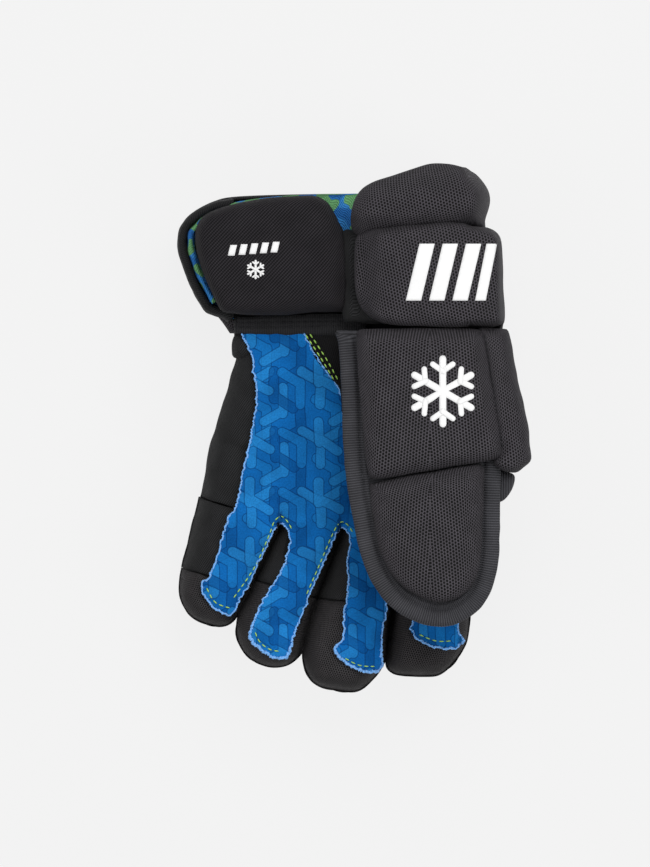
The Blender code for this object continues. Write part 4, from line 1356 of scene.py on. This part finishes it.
# ---------------------------------------------------------------- marks

def stroke_outline(centre, angle, length, width):
    """Plan outline of a round-ended stroke."""
    turn = math.radians(angle)
    along = np.array((math.cos(turn), math.sin(turn)))
    across = np.array((-along[1], along[0]))
    points = []
    for end, start in ((1, -90), (-1, 90)):
        for k in range(7):
            bend = math.radians(start + 30 * k)
            round_off = along * math.cos(bend) + across * math.sin(bend)
            points.append(np.array(centre) + along * end * (length - width) / 2
                          + round_off * width / 2)
    return np.array(points)


def bar_outline(x, y, width, height, slant):
    """Slanted bar with its lower left corner at x, y."""
    lean = height * slant
    return evened(np.array([(x, y), (x + width, y), (x + width + lean, y + height),
                            (x + lean, y + height)]), 1.0)


def mark(name, outlines, targets, body, lift=0.28):
    """White ink on a pad: thin shapes that follow its surface."""
    points, faces = [], []
    for number, outline in enumerate(outlines):
        plan, triangles, _ = triangulated(outline, [], 1.1)
        heights = on_surface(plan, *targets) + lift + 0.015 * number
        base = len(points)
        points += np.column_stack((plan, heights)).tolist()
        faces += [tuple(base + k for k in face) for face in triangles]
    piece = add_mesh(name, np.array(points), faces, white_ink)
    solid = piece.modifiers.new("ink", "SOLIDIFY")
    solid.thickness = 0.35 * MM
    solid.offset = -1.0
    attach(piece, body)
    return piece


def snowflake(centre, size, width):
    """Generic six-armed snow crystal."""
    strokes = [stroke_outline(centre, angle, 2 * size, width) for angle in (30, 90, 150)]
    for arm in range(6):
        turn = math.radians(30 + 60 * arm)
        knee = np.array(centre) + np.array((math.cos(turn), math.sin(turn))) * size * 0.56
        for side in (-1, 1):
            angle = turn + side * math.radians(55)
            tip = np.array((math.cos(angle), math.sin(angle))) * size * 0.32
            strokes.append(stroke_outline(knee + tip / 2, math.degrees(angle), size * 0.32 + width,
                                          width * 0.8))
    return strokes


def make_marks(flap, band, upper):
    bars = [bar_outline(22.6 + 10.0 * k, 54.5, 6.6, 24.5, 0.24) for k in range(3)]
    bars.append(bar_outline(52.4, 54.5, 4.6, 24.5, 0.2))
    mark("band_bars", bars, [band], "cuff")
    mark("thumb_snowflake", snowflake((38.5, 15.5), 15.5, 3.0), [upper], "thumb")
    small = [bar_outline(-54.0 + 4.6 * k, 74.0 + 0.35 * k, 2.9, 4.6, 0.24) for k in range(5)]
    mark("flap_bars", small, [flap], "cuff")
    mark("flap_snowflake", snowflake((-42.0, 68.0), 4.2, 0.95), [flap], "cuff")


# ---------------------------------------------------------------- stage

def make_camera():
    """Camera far above the palm, with a long lens, as in the photograph."""
    camera = link_object("camera", bpy.data.cameras.new("camera"))
    camera.data.lens = CAMERA_LENS
    distance = CAMERA_LENS * FRAME_HEIGHT / camera.data.sensor_width
    camera.location = (*CAMERA_PLACE, 0.045 + distance)
    camera.data.clip_end = 20.0
    bpy.context.scene.camera = camera


def make_floor():
    """White glowing floor, clear when it is seen from below."""
    mesh = bpy.data.meshes.new("floor")
    corners = ((-1, -1), (1, -1), (1, 1), (-1, 1))
    mesh.from_pydata([(x * FLOOR_SIZE, y * FLOOR_SIZE, -0.001) for x, y in corners], [],
                     [(0, 1, 2, 3)])
    floor = link_object("floor", mesh)
    made, tree, shader = new_material("floor", 0.9, 0.0, 0.1)
    shader.inputs["Base Color"].default_value = (0.05, 0.05, 0.05, 1.0)
    shader.inputs["Emission Color"].default_value = (1.0, 1.0, 1.0, 1.0)
    shader.inputs["Emission Strength"].default_value = FLOOR_GLOW
    below = node(tree, "ShaderNodeNewGeometry").outputs["Backfacing"]
    clear = node(tree, "ShaderNodeBsdfTransparent")
    choice = node(tree, "ShaderNodeMixShader", (below, shader.outputs[0], clear.outputs[0]))
    tree.links.new(choice.outputs[0], tree.nodes["Material Output"].inputs[0])
    mesh.materials.append(made)


def make_lights():
    world = bpy.data.worlds.new("world")
    bpy.context.scene.world = world
    world.use_nodes = True
    background = world.node_tree.nodes["Background"]
    background.inputs[0].default_value = (1.0, 1.0, 1.0, 1.0)
    background.inputs[1].default_value = WORLD_GLOW
    for name, place, size, power in LIGHTS:
        light = link_object(name, bpy.data.lights.new(name, "AREA"))
        light.data.size = size
        light.data.energy = power
        light.location = place
        light.rotation_mode = "QUATERNION"
        light.rotation_quaternion = (-Vector(place)).to_track_quat("-Z", "Y")


def finish_cad():
    """The inserts keep their CAD shape inside the pads."""
    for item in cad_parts.values():
        if not item.hide_render:
            item.data.materials.clear()
            item.data.materials.append(plastic)


bpy.context.scene.view_settings.view_transform = "Standard"
make_camera()
make_floor()
make_lights()
make_hand()
for index, finger_name in enumerate(FINGERS):
    make_finger(finger_name, index)
make_stalls()
make_print()
make_stitches()
thumb_upper = make_thumb()
flap_piece, band_piece = make_cuff()
make_marks(flap_piece, band_piece, thumb_upper)
finish_cad()
